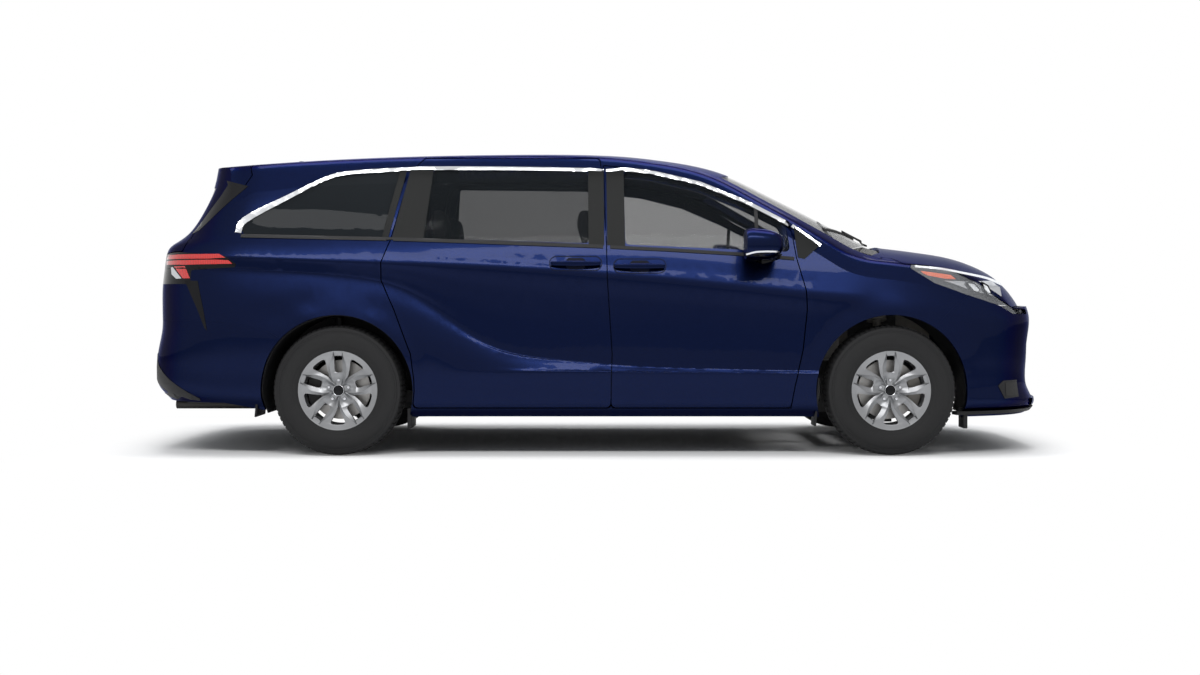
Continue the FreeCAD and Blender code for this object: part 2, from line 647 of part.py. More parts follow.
def hinge(fixed, moving, centre, direction, radius, length, arms=(), links=()):
    """A three-part hinge: the fixed body keeps the pin and the outer rings, the moving one has the middle ring."""
    step = V(direction).normalize() * (length / 3)
    start = centre - step * 1.5
    play = step * (1 / 12)
    iron = tilted_cylinder(radius * 0.45, start + play, start + step * 3 - play)
    for foot in (start, start + step * 2 + play):
        iron = iron.fuse(tilted_cylinder(radius, foot, foot + step - play))
    for arm in arms:
        iron = iron.fuse(arm)
    room = radius + HINGE_ROOM
    fixed = fixed.cut(tilted_cylinder(room, start + step - play, start + step * 2 + play)).fuse(iron)
    moving = moving.cut(tilted_cylinder(room, start - play, start + step))
    moving = moving.cut(tilted_cylinder(room, start + step * 2, start + step * 3 + play))
    middle = tilted_cylinder(radius, start + step + play, start + step * 2 - play)
    for link in links:
        middle = middle.fuse(link)
    moving = moving.fuse(middle).cut(tilted_cylinder(radius * 0.45 + SEAM, start - step, start + step * 4))
    return biggest(fixed), biggest(moving)


def body_panels():
    """Every panel and pane of the right half, cut from the body's skin at the shut lines."""
    parts = {}
    outer = body_space(0, 0, 0, 0)
    wall_space = body_space(DOOR_WALL, FRAME_WALL, GATE_WALL, ROOF_WALL)
    panel_space = body_space(PANEL_WALL, PANEL_WALL, PANEL_WALL, PANEL_WALL)
    seal_space = body_space(DOOR_WALL + SEAL_ROOM, FRAME_WALL + SEAL_ROOM, GATE_WALL + SEAL_ROOM, ROOF_WALL + SEAL_ROOM)
    cabin_space = body_space(
        DOOR_WALL + SEAL_ROOM + PILLAR_LOW, FRAME_WALL + SEAL_ROOM + PILLAR_HIGH, GATE_WALL + SEAL_ROOM,
        ROOF_WALL + SEAL_ROOM,
    )
    wall = outer.cut(wall_space)
    panel = outer.cut(panel_space)
    door, slider = shut_lines()
    half_gap = SHUT_GAP / 2

    window = side_slab(map_shares(FRONT_WINDOW_SHARES, "side"), CORNER)
    front_door = side_slab(grown(door, -half_gap), CORNER).common(wall).cut(window)
    parts["door_glass"] = pane(outer, side_slab(grown(map_shares(FRONT_WINDOW_SHARES, "side"), -SEAM), CORNER))
    corner = block(V(DOOR_HINGE_X, -HALF, UNDERSIDE), V(FRONT_AXLE_X, 0, SKY))
    corner = corner.cut(Part.makeCylinder(DOOR_SWEEP, SKY, V(DOOR_HINGE_X, -DOOR_HINGE_Y, 0)))
    front_door = front_door.cut(corner)

    slider_window = side_slab(map_shares(SLIDER_WINDOW_SHARES, "side"), CORNER)
    reach = HALF * (1 - ROOF_SHARES[1][1]) - SHUT_GAP
    sliding_door = side_slab(grown(slider, -half_gap), CORNER, reach).common(wall).cut(slider_window)
    quarter_window = side_slab(map_shares(QUARTER_WINDOW_SHARES, "side"), CORNER)
    panes = [
        pane(outer, side_slab(grown(map_shares(shares, "side"), -SEAM), CORNER))
        for shares in (SLIDER_WINDOW_SHARES, QUARTER_WINDOW_SHARES)
    ]
    parts["side_windows"] = Part.makeCompound(panes)
    layer = wall_space.cut(seal_space.translated(V(0, -SEAM, 0)))
    rollers = [
        layer.common(block(V(at(b) - TRACK_ARM / 2, -HALF, h * HEIGHT), V(at(b) + TRACK_ARM / 2, -HALF * 0.68, h * HEIGHT + TRACK_ARM / 3)))
        for b, h in ROLLER_SHARES
    ]
    parts["sliding_door"] = biggest(sliding_door.fuse(rollers))

    gate_side = map_shares(GATE_SIDE_SHARES, "side")
    gate_end = map_shares(GATE_END_SHARES, "end")

    def gate_region(reach):
        side = slab(grown(gate_side, reach), "side", -HALF - OVERRUN, 0)
        end = slab(grown(gate_end, reach), "end", TAIL_X - OVERRUN, REAR_AXLE_X)
        return side.common(end)

    gate_cut = gate_region(half_gap)
    gate_window = slab(map_shares(GATE_WINDOW_SHARES, "end"), "end", TAIL_X - OVERRUN, REAR_AXLE_X, CORNER)
    gate_lamp = slab(map_shares(GATE_LAMP_SHARES, "end"), "end", TAIL_X - OVERRUN, REAR_AXLE_X, CORNER)
    lamp_depth = outer.translated(V(GATE_WALL / 2, 0, 0))
    gate_region_shut = gate_region(-half_gap)
    parts["tailgate_lamps"] = gate_lamp.common(gate_region_shut).common(outer).cut(lamp_depth)
    lamp_room = slab(grown(map_shares(GATE_LAMP_SHARES, "end"), SEAM), "end", TAIL_X - OVERRUN, REAR_AXLE_X, CORNER)
    lamp_room = lamp_room.cut(lamp_depth.translated(V(SEAM, 0, 0)))
    gate = gate_region_shut.common(wall).cut(gate_window).cut(lamp_room)
    shift = V(GLASS_INSET, 0, 0)
    rear_pane = slab(grown(map_shares(GATE_WINDOW_SHARES, "end"), -SEAM), "end", TAIL_X - OVERRUN, REAR_AXLE_X, CORNER)
    parts["tailgate_glass"] = rear_pane.common(outer.translated(shift)).cut(outer.translated(shift + V(GLASS, 0, 0)))

    tail_lamp = side_slab(map_shares(TAIL_LAMP_SHARES, "side"), CORNER / 2)
    parts["tail_lamps"] = tail_lamp.common(wall).cut(gate_cut)
    tail_lamp_cut = side_slab(grown(map_shares(TAIL_LAMP_SHARES, "side"), SEAM), CORNER / 2)
    bumper_top = map_shares(TAIL_BUMPER_SHARES, "side")
    low = UNDERSIDE - OVERRUN
    rear_low = [(TAIL_X - OVERRUN, 0.168 * HEIGHT), (at(-0.55), 0.168 * HEIGHT), (at(-0.261), 0.135 * HEIGHT)]
    rear_bumper = side_slab(bumper_top + rear_low, 0, WIDTH + OVERRUN)
    rear_arch = arch(REAR_AXLE_X, ARCH_RADIUS, HALF * 0.56)
    inside = V(TAIL_OF(HEIGHT / 4) + PANEL_WALL / 2, 0, HEIGHT / 4)
    rear_bumper = piece_at(rear_bumper, [cap_face(0, False), cap_face(PANEL_WALL, False)], inside)
    parts["rear_bumper"] = without(rear_bumper, gate_cut, mirror_of(gate_cut), rear_arch, mirror_of(rear_arch))

    lamp = side_slab(map_shares(LAMP_SHARES, "side"), CORNER / 2)
    lamp_cut = side_slab(grown(map_shares(LAMP_SHARES, "side"), SEAM), CORNER / 2)
    edge = map_shares(BONNET_EDGE_SHARES, "side")
    above = [(NOSE_X + OVERRUN, SKY), (edge[0][0], SKY)]

    def bonnet_region(reach):
        side = slab(grown(edge + above, reach), "side", -HALF - OVERRUN, HALF + OVERRUN)
        plan = slab(grown(map_shares(across(BONNET_PLAN_SHARES, "plan"), "plan"), reach), "plan", UNDERSIDE, SKY)
        inner = HALF * 0.765 + reach
        rear = block(V(at(0.9), -inner, HEIGHT / 2), V(at(1.22), inner, SKY))
        return side.fuse(rear).common(plan)

    corner = V(BONNET_HINGE.x, -HALF * 0.765 + HINGE_RADIUS * 2, BONNET_HINGE.z)
    corner = Part.makeCylinder(HINGE_RADIUS * 2, HINGE_RADIUS * 3, corner, V(0, -1, 0))
    bonnet = without(bonnet_region(-half_gap).common(panel), corner, mirror_of(corner))
    bonnet_cut = bonnet_region(half_gap)
    parts["headlamps"] = biggest(lamp.common(wall).cut(bonnet_cut))
    front_arch = arch(FRONT_AXLE_X, ARCH_RADIUS, HALF * 0.54)
    wing_front = map_shares(WING_FRONT_SHARES, "side")
    rear_line = grown(door, half_gap)[:6]
    below = [(wing_front[-1][0], low), (rear_line[0][0], low)]
    wing_rear = rear_line + map_shares(WING_REAR_SHARES, "side")
    wing_top = [(wing_front[0][0], SKY)]
    wing = slab(loop(wing_rear, wing_top, wing_front, below), "side", -HALF - OVERRUN, -HALF * 0.5)
    screen_cut = slab(grown(map_shares(SCREEN_SHARES, "plan"), SEAM), "plan", UNDERSIDE, SKY)
    cowl_cut = slab(grown(map_shares(COWL_SHARES, "plan"), SEAM), "plan", UNDERSIDE, SKY)
    roof_cut = slab(grown(map_shares(ROOF_SHARES, "plan"), SEAM), "plan", HEIGHT / 2, SKY)
    parts["wing"] = without(wing.common(panel), bonnet_cut, lamp_cut, front_arch, screen_cut, cowl_cut)

    nose = loop(
        [(p[0] + SEAM, p[1]) for p in wing_front[::-1]],
        [(at(1.454), 0.7 * HEIGHT), (NOSE_X + OVERRUN, 0.7 * HEIGHT), (NOSE_X + OVERRUN, UNDERSIDE)],
        [(wing_front[-1][0] + SEAM, UNDERSIDE)],
    )
    nose_skin = cap_face(0, True)
    tool = slab(nose, "side", -HALF - OVERRUN, HALF + OVERRUN)
    inside = V(NOSE_OF(HEIGHT / 4) - PANEL_WALL / 2, 0, HEIGHT / 4)
    bumper = piece_at(tool, [nose_skin, cap_face(PANEL_WALL, True)], inside)
    bumper = without(bumper, bonnet_cut, lamp_cut, mirror_of(lamp_cut), front_arch, mirror_of(front_arch))
    parts["front_bumper"], parts["front_grille"] = nose_openings(bumper, nose_skin)

    glass_low = outer.translated(V(-GLASS_INSET, 0, -GLASS_INSET))
    glass_under = outer.translated(V(-GLASS_INSET - GLASS, 0, -GLASS_INSET - GLASS))
    screen = slab(grown(map_shares(SCREEN_SHARES, "plan"), -SEAM), "plan", HEIGHT / 2, SKY)
    parts["windscreen"] = screen.common(glass_low).cut(glass_under)
    cowl = slab(map_shares(COWL_SHARES, "plan"), "plan", HEIGHT / 2, SKY)
    cowl_top = outer.translated(V(0, 0, -ROOF_WALL / 2))
    cowl = cowl.common(cowl_top).cut(outer.translated(V(0, 0, -ROOF_WALL)))
    room = V(HINGE_LENGTH / 3, HINGE_LENGTH * 0.6, HINGE_LENGTH)
    parts["cowl_panel"] = biggest(cowl.cut(block(BONNET_HINGE - room, BONNET_HINGE + V(HINGE_LENGTH * 3 / 2, room.y, room.z))))
    roof = slab(map_shares(ROOF_SHARES, "plan"), "plan", HEIGHT / 2, SKY)
    roof = roof.common(wall).cut(gate_cut)

    pillar_front = [(x - SEAM, z + SEAM) for x, z in wing_rear]
    shell_side = loop(pillar_front, [(wing_rear[-1][0], SKY), (TAIL_X - OVERRUN, SKY), (TAIL_X - OVERRUN, low)])
    shell_side.append((pillar_front[0][0], low))
    frame = slab(shell_side, "side", -HALF - OVERRUN, 0).common(outer.cut(cabin_space))
    post = [(at(0.80), low), (at(0.855), low), (at(0.855), 0.66 * HEIGHT), (at(0.80), 0.66 * HEIGHT)]
    post = slab(post, "side", -HALF, -HALF / 2).common(seal_space).cut(cabin_space)
    frame = frame.fuse(post)
    pockets = [side_slab(grown(line, half_gap), CORNER, HALF).cut(seal_space) for line in (door, slider)]
    hollows = [side_slab(grown(line, -PILLAR_LOW), CORNER * 2, HALF) for line in (door, slider)]
    bumper_cut = side_slab(grown(bumper_top + rear_low, SEAM), 0, HALF + OVERRUN)
    below_bumper = block(V(TAIL_X - OVERRUN, -HALF, low), V(at(-0.261), 0, 0.17 * HEIGHT))
    frame = without(
        frame, *pockets, *hollows, quarter_window, gate_cut, tail_lamp_cut, bumper_cut, below_bumper, rear_arch,
        roof_cut, screen_cut, cowl_cut, bonnet_cut,
    )
    hinge_room = Part.makeCylinder(DOOR_SWEEP + SHUT_GAP, SKY, V(DOOR_HINGE_X, -DOOR_HINGE_Y, 0))
    hinge_room = hinge_room.common(side_slab(grown(door, half_gap), 0, HALF))
    corner_room = side_slab(grown(door, half_gap), CORNER, HALF).cut(seal_space.translated(V(0, PILLAR_HIGH / 2, 0)))
    corner_room = corner_room.common(block(V(at(0.74), -HALF, HEIGHT * 0.70), V(at(0.88), 0, HEIGHT * 0.82)))
    frame = biggest(frame.cut(hinge_room).cut(corner_room))
    gate_room = Part.makeCylinder(HINGE_RADIUS * 2, -GATE_HINGE.y - HINGE_LENGTH / 2, GATE_HINGE, V(0, 1, 0))
    roof = roof.cut(gate_room.translated(V(0, HINGE_LENGTH / 2, 0)))

    for height in DOOR_HINGE_HEIGHTS:
        centre = V(DOOR_HINGE_X, -DOOR_HINGE_Y, height)
        ring = HINGE_LENGTH / 3
        arms = []
        rooms = []
        for sign in (-1, 1):
            middle = centre + V(0, 0, sign * ring)
            half = V(HINGE_RADIUS * 0.7, 0, ring * 0.3)
            arms.append(block(middle - half, middle + half + V(0, 136, 0)))
            arms.append(block(middle - half + V(0, 126, 0), middle + half + V(80, 138, 0)))
            rooms.append(block(middle - V(14, 9, ring * 0.6), middle + V(140, 140, ring * 0.6)))
        front_door = front_door.cut(rooms)
        frame, front_door = hinge(frame, front_door, centre, V(0, 0, 1), HINGE_RADIUS, HINGE_LENGTH, arms)
    roof, gate = hinge(roof, gate, GATE_HINGE, V(0, 1, 0), HINGE_RADIUS, HINGE_LENGTH)
    parts["side_frame"] = frame
    parts["front_door"] = front_door
    parts["tailgate"] = gate
    parts["roof_panel"] = roof
    parts["bonnet"] = bonnet
    return parts, outer, panel_space, cabin_space


GRILLE_SHARES = ((0.500, 0.205), (0.600, 0.350), (0.560, 0.395))
UPPER_GRILLE_SHARES = ((0.480, 0.435), (0.500, 0.452), (0.480, 0.460))
GRILLE_BARS = 5
GRILLE_INSET = 14.0
GRILLE_DEPTH = 34.0


def nose_openings(bumper, skin):
    """The bumper with its two openings, and the barred grilles that fill them."""
    grilles = []
    for shares, radius in ((GRILLE_SHARES, CORNER), (UPPER_GRILLE_SHARES, 0)):
        outline = map_shares(across(shares, "end"), "end")
        bumper = bumper.cut(slab(outline, "end", at(1.3), NOSE_X + OVERRUN, radius))
        opening = slab(grown(outline, -SEAM), "end", at(1.3), NOSE_X + OVERRUN, radius)
        grilles.append(layer(opening, skin, GRILLE_INSET, GRILLE_INSET + GRILLE_DEPTH))
    low, high = GRILLE_SHARES[0][1] * HEIGHT, GRILLE_SHARES[-1][1] * HEIGHT
    pitch = (high - low) / GRILLE_BARS
    back = skin.translated(V(-GRILLE_INSET - GRILLE_DEPTH * 0.7, 0, 0))
    for i in range(GRILLE_BARS):
        foot = low + pitch * (i + 0.26)
        tool = block(V(at(1.3), -HALF * 0.52, foot), V(NOSE_X + OVERRUN, HALF * 0.52, foot + pitch * 0.52))
        tool = max(tool.generalFuse([back])[0].Solids, key=lambda piece: piece.CenterOfMass.x)
        grilles[0] = grilles[0].cut(tool)
    return bumper, Part.makeCompound(grilles)


def layer(tool, skin, first, last):
    """What lies in a solid between two copies of the nose's skin, moved back by first and last."""
    pieces = tool.generalFuse([skin.translated(V(-first, 0, 0)), skin.translated(V(-last, 0, 0))])[0].Solids
    pieces.sort(key=lambda p: p.CenterOfMass.x)
    return pieces[1]


# Cabin and running gear.
SEAT_WIDTH = 500.0
SEAT_OFFSET = 400.0
STEERING_CENTRE = V(at(0.675), SEAT_OFFSET, 985.0)
STEERING_AXIS = (0.90, 0.0, -0.42)
FLOOR_LEVEL_SHARE = FLOOR_TOP / HEIGHT
FLOOR_SHARES = (
    (0.862, 0.640), (0.858, 0.372), (0.800, FLOOR_LEVEL_SHARE), (0.180, FLOOR_LEVEL_SHARE), (0.140, 0.270),
    (-0.360, 0.270),
    (-0.450, 0.180), (-0.840, 0.180), (-0.850, 0.300),
)
DASH_SHARES = (
    (0.845, 0.400), (0.845, 0.640), (0.800, 0.655), (0.735, 0.640), (0.712, 0.590), (0.735, 0.520), (0.770, 0.480),
    (0.800, 0.400),
)
CONSOLE_SHARES = (
    (0.795, FLOOR_LEVEL_SHARE), (0.795, 0.436), (0.73, 0.413), (0.56, 0.321), (0.52, FLOOR_LEVEL_SHARE),
)


BEAM_B = 1.78
BEAM_DEPTH = 48.0
REAR_HOUSE = 560.0
HOUSE_WALL = 4.0
FOLD_LOW = V(1064.0, -840.0, 446.0)
FOLD_HIGH = V(1130.0, -782.0, 490.0)


def floor_and_rails(cabin_space):
    """Floor, toe board and bulkhead in one run, with the front rails, strut towers and bumper beam."""
    line = map_shares(FLOOR_SHARES, "side")
    plate = line + thick_line(line, FLOOR_THICK)[::-1]
    floor = slab(plate, "side", -HALF, 0).common(cabin_space.translated(V(0, 2 * SEAM, 0)))
    floor = floor.cut(arch(REAR_AXLE_X, ARCH_RADIUS, REAR_HOUSE - SEAM))
    # The pillar's inner face folds back here, so the toe board stands clear of it.
    floor = floor.cut(block(FOLD_LOW, FOLD_HIGH))
    tower_low, tower_high = V(FRONT_AXLE_X - 150, -700, 892), V(FRONT_AXLE_X + 130, -RAIL_INSIDE, 904)
    pieces = [
        block(V(at(0.822), -RAIL_OUTSIDE, 400), V(at(BEAM_B) + BEAM_DEPTH / 2, -RAIL_INSIDE, 510)),
        block(tower_low, tower_high),
        block(V(tower_low.x, -RAIL_OUTSIDE, 400), V(tower_high.x, -RAIL_OUTSIDE + 14, 904)),
        block(V(at(-0.83), -REAR_RAIL_OUTSIDE, 262), V(at(-0.42), -REAR_RAIL_INSIDE, 330)),
        block(V(at(-0.43), -REAR_RAIL_OUTSIDE, 345), V(at(0.13), -REAR_RAIL_INSIDE, 455)),
        block(V(at(0.1) - 1, -REAR_RAIL_OUTSIDE, 236), V(at(0.79), -REAR_RAIL_INSIDE, 330)),
        block(V(at(BEAM_B), -HALF * 0.48, 420), V(at(BEAM_B) + BEAM_DEPTH, 0, 520)),
    ]
    pad = block(BONNET_HINGE + V(-14, 22, tower_low.z - BONNET_HINGE.z), BONNET_HINGE + V(14, 32, 9))
    return floor.fuse(pieces), pad


def thick_line(line, thick):
    """A run of points moved down and back by a plate's thickness."""
    moved = []
    for i, (x, z) in enumerate(line):
        ax, az = line[max(0, i - 1)]
        cx, cz = line[min(len(line) - 1, i + 1)]
        n1 = unit_normal(ax, az, x, z) if i > 0 else unit_normal(x, z, cx, cz)
        n2 = unit_normal(x, z, cx, cz) if i < len(line) - 1 else n1
        share = 1 + n1[0] * n2[0] + n1[1] * n2[1]
        moved.append((x - thick * (n1[0] + n2[0]) / share, z - thick * (n1[1] + n2[1]) / share))
    return moved


def unit_normal(ax, az, bx, bz):
    length = math.hypot(bx - ax, bz - az)
    return (bz - az) / length, -(bx - ax) / length


def seat(x, y, width, floor):
    """One seat: cushion, back and head rest on a plinth, its corners rounded."""
    base = slab([(x - 260, floor + 150), (x + 270, floor + 190), (x + 280, floor + 320), (x - 260, floor + 290)],
                "side", y - width / 2, y + width / 2, 40)
    back = slab([(x - 260, floor + 240), (x - 150, floor + 230), (x - 270, floor + 860), (x - 380, floor + 860)],
                "side", y - width / 2 + 15, y + width / 2 - 15, 40)
    head = slab([(x - 385, floor + 890), (x - 300, floor + 890), (x - 320, floor + 1060), (x - 390, floor + 1060)],
                "side", y - 125, y + 125, 30)
    posts = [block(V(x - 345, y + s * 60 - 7, floor + 840), V(x - 330, y + s * 60 + 7, floor + 900)) for s in (-1, 1)]
    plinth = block(V(x - 220, y - width / 2 + 40, floor), V(x + 220, y + width / 2 - 40, floor + 200))
    return biggest(base.fuse([back, head, plinth] + posts))


def revolve(points, centre):
    """A solid turned about a line along Y from (radius, offset) points; offset runs outboard on the right."""
    corners = [V(0, -y, r) + centre for r, y in points]
    wire = Part.makePolygon(corners + [corners[0]])
    return Part.Face(wire).revolve(centre, V(0, 1, 0), 360)


def tyre(axle):
    centre = V(axle, -TRACK / 2, TYRE_RADIUS)
    half = TYRE_WIDTH / 2
    seat_half = RIM_WIDTH / 2 - 8 - SEAM
    bead = RIM_RADIUS - 15
    side = [(bead + SEAM, seat_half), (RIM_RADIUS + SEAM, seat_half), (TYRE_RADIUS * 0.80, half),
            (TYRE_RADIUS * 0.962, half * 0.93), (TYRE_RADIUS, half * 0.74)]
    return revolve(side + [(r, -y) for r, y in side[::-1]], centre)


def wheel(axle):
    """A ten-spoke wheel: barrel, dished face with its windows cut, and the brake disc on its hub."""
    centre = V(axle, -TRACK / 2, TYRE_RADIUS)
    edge = RIM_WIDTH / 2
    bead = RIM_RADIUS - 15
    well = RIM_RADIUS - 39
    barrel = revolve([
        (RIM_RADIUS, edge), (RIM_RADIUS, edge - 7), (bead, edge - 8), (bead, edge * 0.5), (well, edge * 0.2),
        (well, -edge * 0.4), (bead, -edge * 0.6), (bead, -edge + 8), (RIM_RADIUS, -edge + 7), (RIM_RADIUS, -edge),
        (bead - 8, -edge + 2), (bead - 9, -edge * 0.65), (well - 8, -edge * 0.42), (well - 8, edge * 0.22),
        (bead - 8, edge * 0.55), (bead - 8, edge - 6),
    ], centre)
    face = revolve([
        (0, 66), (30, 66), (34, 58), (78, 58), (96, 70), (160, 84), (bead - 4, edge - 3), (bead - 4, edge * 0.62),
        (180, 56), (100, 34), (DISC_HAT_RADIUS, WHEEL_FACE), (0, WHEEL_FACE),
    ], centre)
    tools = []
    for i in range(5):
        turn = 90 + 72 * i
        slot = [(102, -14), (190, -21), (190, 21), (102, 14)]
        window = [(112, 0), (150, -22), (203, -66), (212, 0), (203, 66), (150, 22)]
        for shape, angle, radius in ((slot, turn, 12), (window, turn + 36, 14)):
            a = math.radians(angle)
            turned = [(axle + r * math.cos(a) - s * math.sin(a), TYRE_RADIUS + r * math.sin(a) + s * math.cos(a)) for r, s in shape]
            tools.append(slab(turned, "side", centre.y - edge * 2, centre.y, radius))
    face = face.cut(tools)
    hat = revolve([
        (SPINDLE_RADIUS + SEAM, WHEEL_FACE), (DISC_HAT_RADIUS, WHEEL_FACE), (DISC_HAT_RADIUS, -DISC_OFFSET + DISC_THICK / 2),
        (DISC_RADIUS, -DISC_OFFSET + DISC_THICK / 2), (DISC_RADIUS, -DISC_OFFSET - DISC_THICK / 2),
        (DISC_HAT_RADIUS - 12, -DISC_OFFSET - DISC_THICK / 2), (DISC_HAT_RADIUS - 12, WHEEL_FACE - 10),
        (SPINDLE_RADIUS + SEAM, WHEEL_FACE - 10),
    ], centre)
    bore = Part.makeCylinder(SPINDLE_RADIUS + SEAM, 62, centre + V(0, 10, 0), V(0, -1, 0))
    return biggest(face.fuse([barrel, hat]).cut(bore))


def hub_and_caliper(axle, forward):
    """Hub carrier, spindle and brake caliper of one right-hand wheel."""
    centre = V(axle, -TRACK / 2, TYRE_RADIUS)
    spindle = Part.makeCylinder(SPINDLE_RADIUS, 118, centre + V(0, 70, 0), V(0, -1, 0))
    carrier = Part.makeCylinder(58, 36, centre + V(0, 72, 0), V(0, -1, 0))
    inner, outer = DISC_RADIUS * 0.70, DISC_RADIUS + 18
    ring = revolve([
        (inner, DISC_THICK * 0.5), (outer, DISC_THICK * 0.5), (outer, -DISC_OFFSET - 46), (inner, -DISC_OFFSET - 46),
    ], centre)
    room = revolve([
        (0, -DISC_OFFSET + DISC_THICK / 2 + 5), (DISC_RADIUS + 5, -DISC_OFFSET + DISC_THICK / 2 + 5),
        (DISC_RADIUS + 5, -DISC_OFFSET - DISC_THICK / 2 - 5), (0, -DISC_OFFSET - DISC_THICK / 2 - 5),
    ], centre)
    tall = DISC_RADIUS * 0.52
    reach = V(forward * outer, -HALF, 0)
    sector = block(
        V(min(axle, axle + forward * HALF), -HALF - OVERRUN, TYRE_RADIUS - tall),
        V(max(axle, axle + forward * HALF), 0, TYRE_RADIUS + tall),
    )
    caliper = ring.cut(room).common(sector)
    bridge = block(
        V(min(axle, axle + forward * 130), centre.y + 40, TYRE_RADIUS - 26),
        V(max(axle, axle + forward * 130), centre.y + 62, TYRE_RADIUS + 26),
    )
    return biggest(spindle.fuse([carrier, caliper, bridge]))


def front_knuckle():
    """Steered hub carrier with its strut, which turns about the line from the ball joint to the strut's top."""
    axis = (KINGPIN_HIGH - KINGPIN_LOW).normalize()
    hub = hub_and_caliper(FRONT_AXLE_X, 1)
    foot = KINGPIN_LOW + axis * 12
    arm = tilted_cylinder(20, foot, KINGPIN_LOW + axis * 60)
    web = block(V(FRONT_AXLE_X - 30, -TRACK / 2 + 40, 210), V(FRONT_AXLE_X + 34, -TRACK / 2 + 75, TYRE_RADIUS))
    high = block(V(FRONT_AXLE_X - 34, -TRACK / 2 + 74, TYRE_RADIUS - 40), V(FRONT_AXLE_X + 30, -TRACK / 2 + 150, TYRE_RADIUS + 75))
    strut = tilted_cylinder(25, KINGPIN_LOW + axis * 240, KINGPIN_HIGH)
    spring = tilted_cylinder(56, KINGPIN_LOW + axis * 565, KINGPIN_HIGH - axis * 8)
    hole = tilted_cylinder(9 + SEAM, KINGPIN_LOW - axis * 10, KINGPIN_LOW + axis * 45)
    body = hub.fuse([arm, web, high, strut, spring]).cut(hole)
    return biggest(body), axis


def subframe(axis):
    """Front subframe with the lower arms; a ball pin stands on each."""
    low, high = UNDERSIDE - 10, UNDERSIDE + 47
    rear, front = FRONT_AXLE_X - 330, FRONT_AXLE_X + 300
    plate = block(V(rear, -400, low), V(front, 0, high))
    hole = block(V(rear + 90, -300, low - 50), V(front - 90, 0, high + 50))
    cross = block(V(FRONT_AXLE_X - 60, -400, low), V(FRONT_AXLE_X + 40, 0, high))
    posts = []
    for x in (rear + 40, front - 40):
        posts.append(block(V(x - 40, -RAIL_OUTSIDE, low), V(x + 40, -390, high)))
        posts.append(block(V(x - 25, -RAIL_OUTSIDE, low), V(x + 25, -RAIL_INSIDE - 5, 400 - SEAM)))
    foot, top = KINGPIN_LOW.z - 22, KINGPIN_LOW.z - 4
    arm = slab([
        (KINGPIN_LOW.x - 24, KINGPIN_LOW.y - 15), (KINGPIN_LOW.x + 24, KINGPIN_LOW.y - 15),
        (FRONT_AXLE_X + 60, -560), (FRONT_AXLE_X + 60, -380), (rear + 70, -380), (FRONT_AXLE_X - 60, -560),
    ], "plan", foot, top, 12)
    joints = [block(V(x - 30, -400, foot), V(x + 30, -380, high)) for x in (rear + 110, FRONT_AXLE_X + 10)]
    pin = tilted_cylinder(9, KINGPIN_LOW - axis * 10, KINGPIN_LOW + axis * 40)
    return plate.cut(hole).fuse([cross, arm, pin] + posts + joints)


def rear_suspension():
    """Rear cross beam, trailing arms, springs and hubs in one fixed piece."""
    hub = hub_and_caliper(REAR_AXLE_X, -1)
    beam = Part.makeCylinder(34, TRACK / 2 - 70, V(REAR_AXLE_X + 70, 0, TYRE_RADIUS - 62), V(0, -1, 0))
    arm = slab([
        (REAR_AXLE_X - 50, TYRE_RADIUS - 50), (REAR_AXLE_X + 40, TYRE_RADIUS + 40), (at(0.14), 330), (at(0.14), 280),
        (REAR_AXLE_X + 90, TYRE_RADIUS - 100),
    ], "side", -640, -590, 20)
    link = block(V(REAR_AXLE_X - 40, -TRACK / 2 + 50, TYRE_RADIUS - 40), V(REAR_AXLE_X + 40, -600, TYRE_RADIUS + 30))
    spring_foot = V(REAR_AXLE_X + 70, -400, TYRE_RADIUS - 42)
    spring_top = FLOOR_SHARES[5][1] * HEIGHT - FLOOR_THICK - SEAM
    spring = Part.makeCylinder(58, spring_top - spring_foot.z, spring_foot)
    damper_top = V(REAR_AXLE_X - 60, -REAR_HOUSE - 44, TYRE_RADIUS + ARCH_RADIUS - 18)
    damper = tilted_cylinder(24, V(REAR_AXLE_X - 20, -620, TYRE_RADIUS), damper_top)
    return hub.fuse([beam, arm, link, spring, damper])


def liners(panel_space, axis):
    """Thin liners inside the wheel arches, the front ones with a hole where the strut passes."""
    strut = tilted_cylinder(84, KINGPIN_LOW + axis * 350, KINGPIN_HIGH + axis * 100)
    solids = []
    rows = (
        (FRONT_AXLE_X, ARCH_RADIUS + 13, ARCH_RADIUS + 17, 545.0, 0),
        (REAR_AXLE_X, ARCH_RADIUS - 5, ARCH_RADIUS - SEAM, REAR_HOUSE, HOUSE_WALL),
    )
    for axle, low, high, inner, side_wall in rows:
        shell = arch(axle, high, inner).cut(arch(axle, low, inner + side_wall))
        cut = block(V(axle - 600, -HALF - OVERRUN, 0), V(axle + 600, 0, UNDERSIDE + 20))
        under = block(V(axle - 330, -inner - 9, 0), V(axle + 330, 0, FLOOR_SHARES[5][1] * HEIGHT - FLOOR_THICK))
        arm_room = block(V(axle + 300, -660, 0), V(axle + 600, -570, 350))
        shell = without(shell, cut, strut, under, arm_room)
        solids.append(biggest(shell.common(panel_space.translated(V(0, SEAM, 0)))))
    return solids


def dash(cabin_space):
    """Dashboard with its centre console, its ends against the side frames."""
    board = slab(map_shares(DASH_SHARES, "side"), "side", -HALF, 0, 30).common(cabin_space.translated(V(0, SEAM, 0)))
    console = slab(map_shares(CONSOLE_SHARES, "side"), "side", -130, 0, 30)
    return whole(board.fuse(console)).cut(steering_column(SEAM))


def steering_column(reach):
    """The column from the steering wheel's boss into the dashboard."""
    axis = V(STEERING_AXIS).normalize()
    return tilted_cylinder(34 + reach, STEERING_CENTRE + axis * (260 + reach), STEERING_CENTRE + axis * 20)


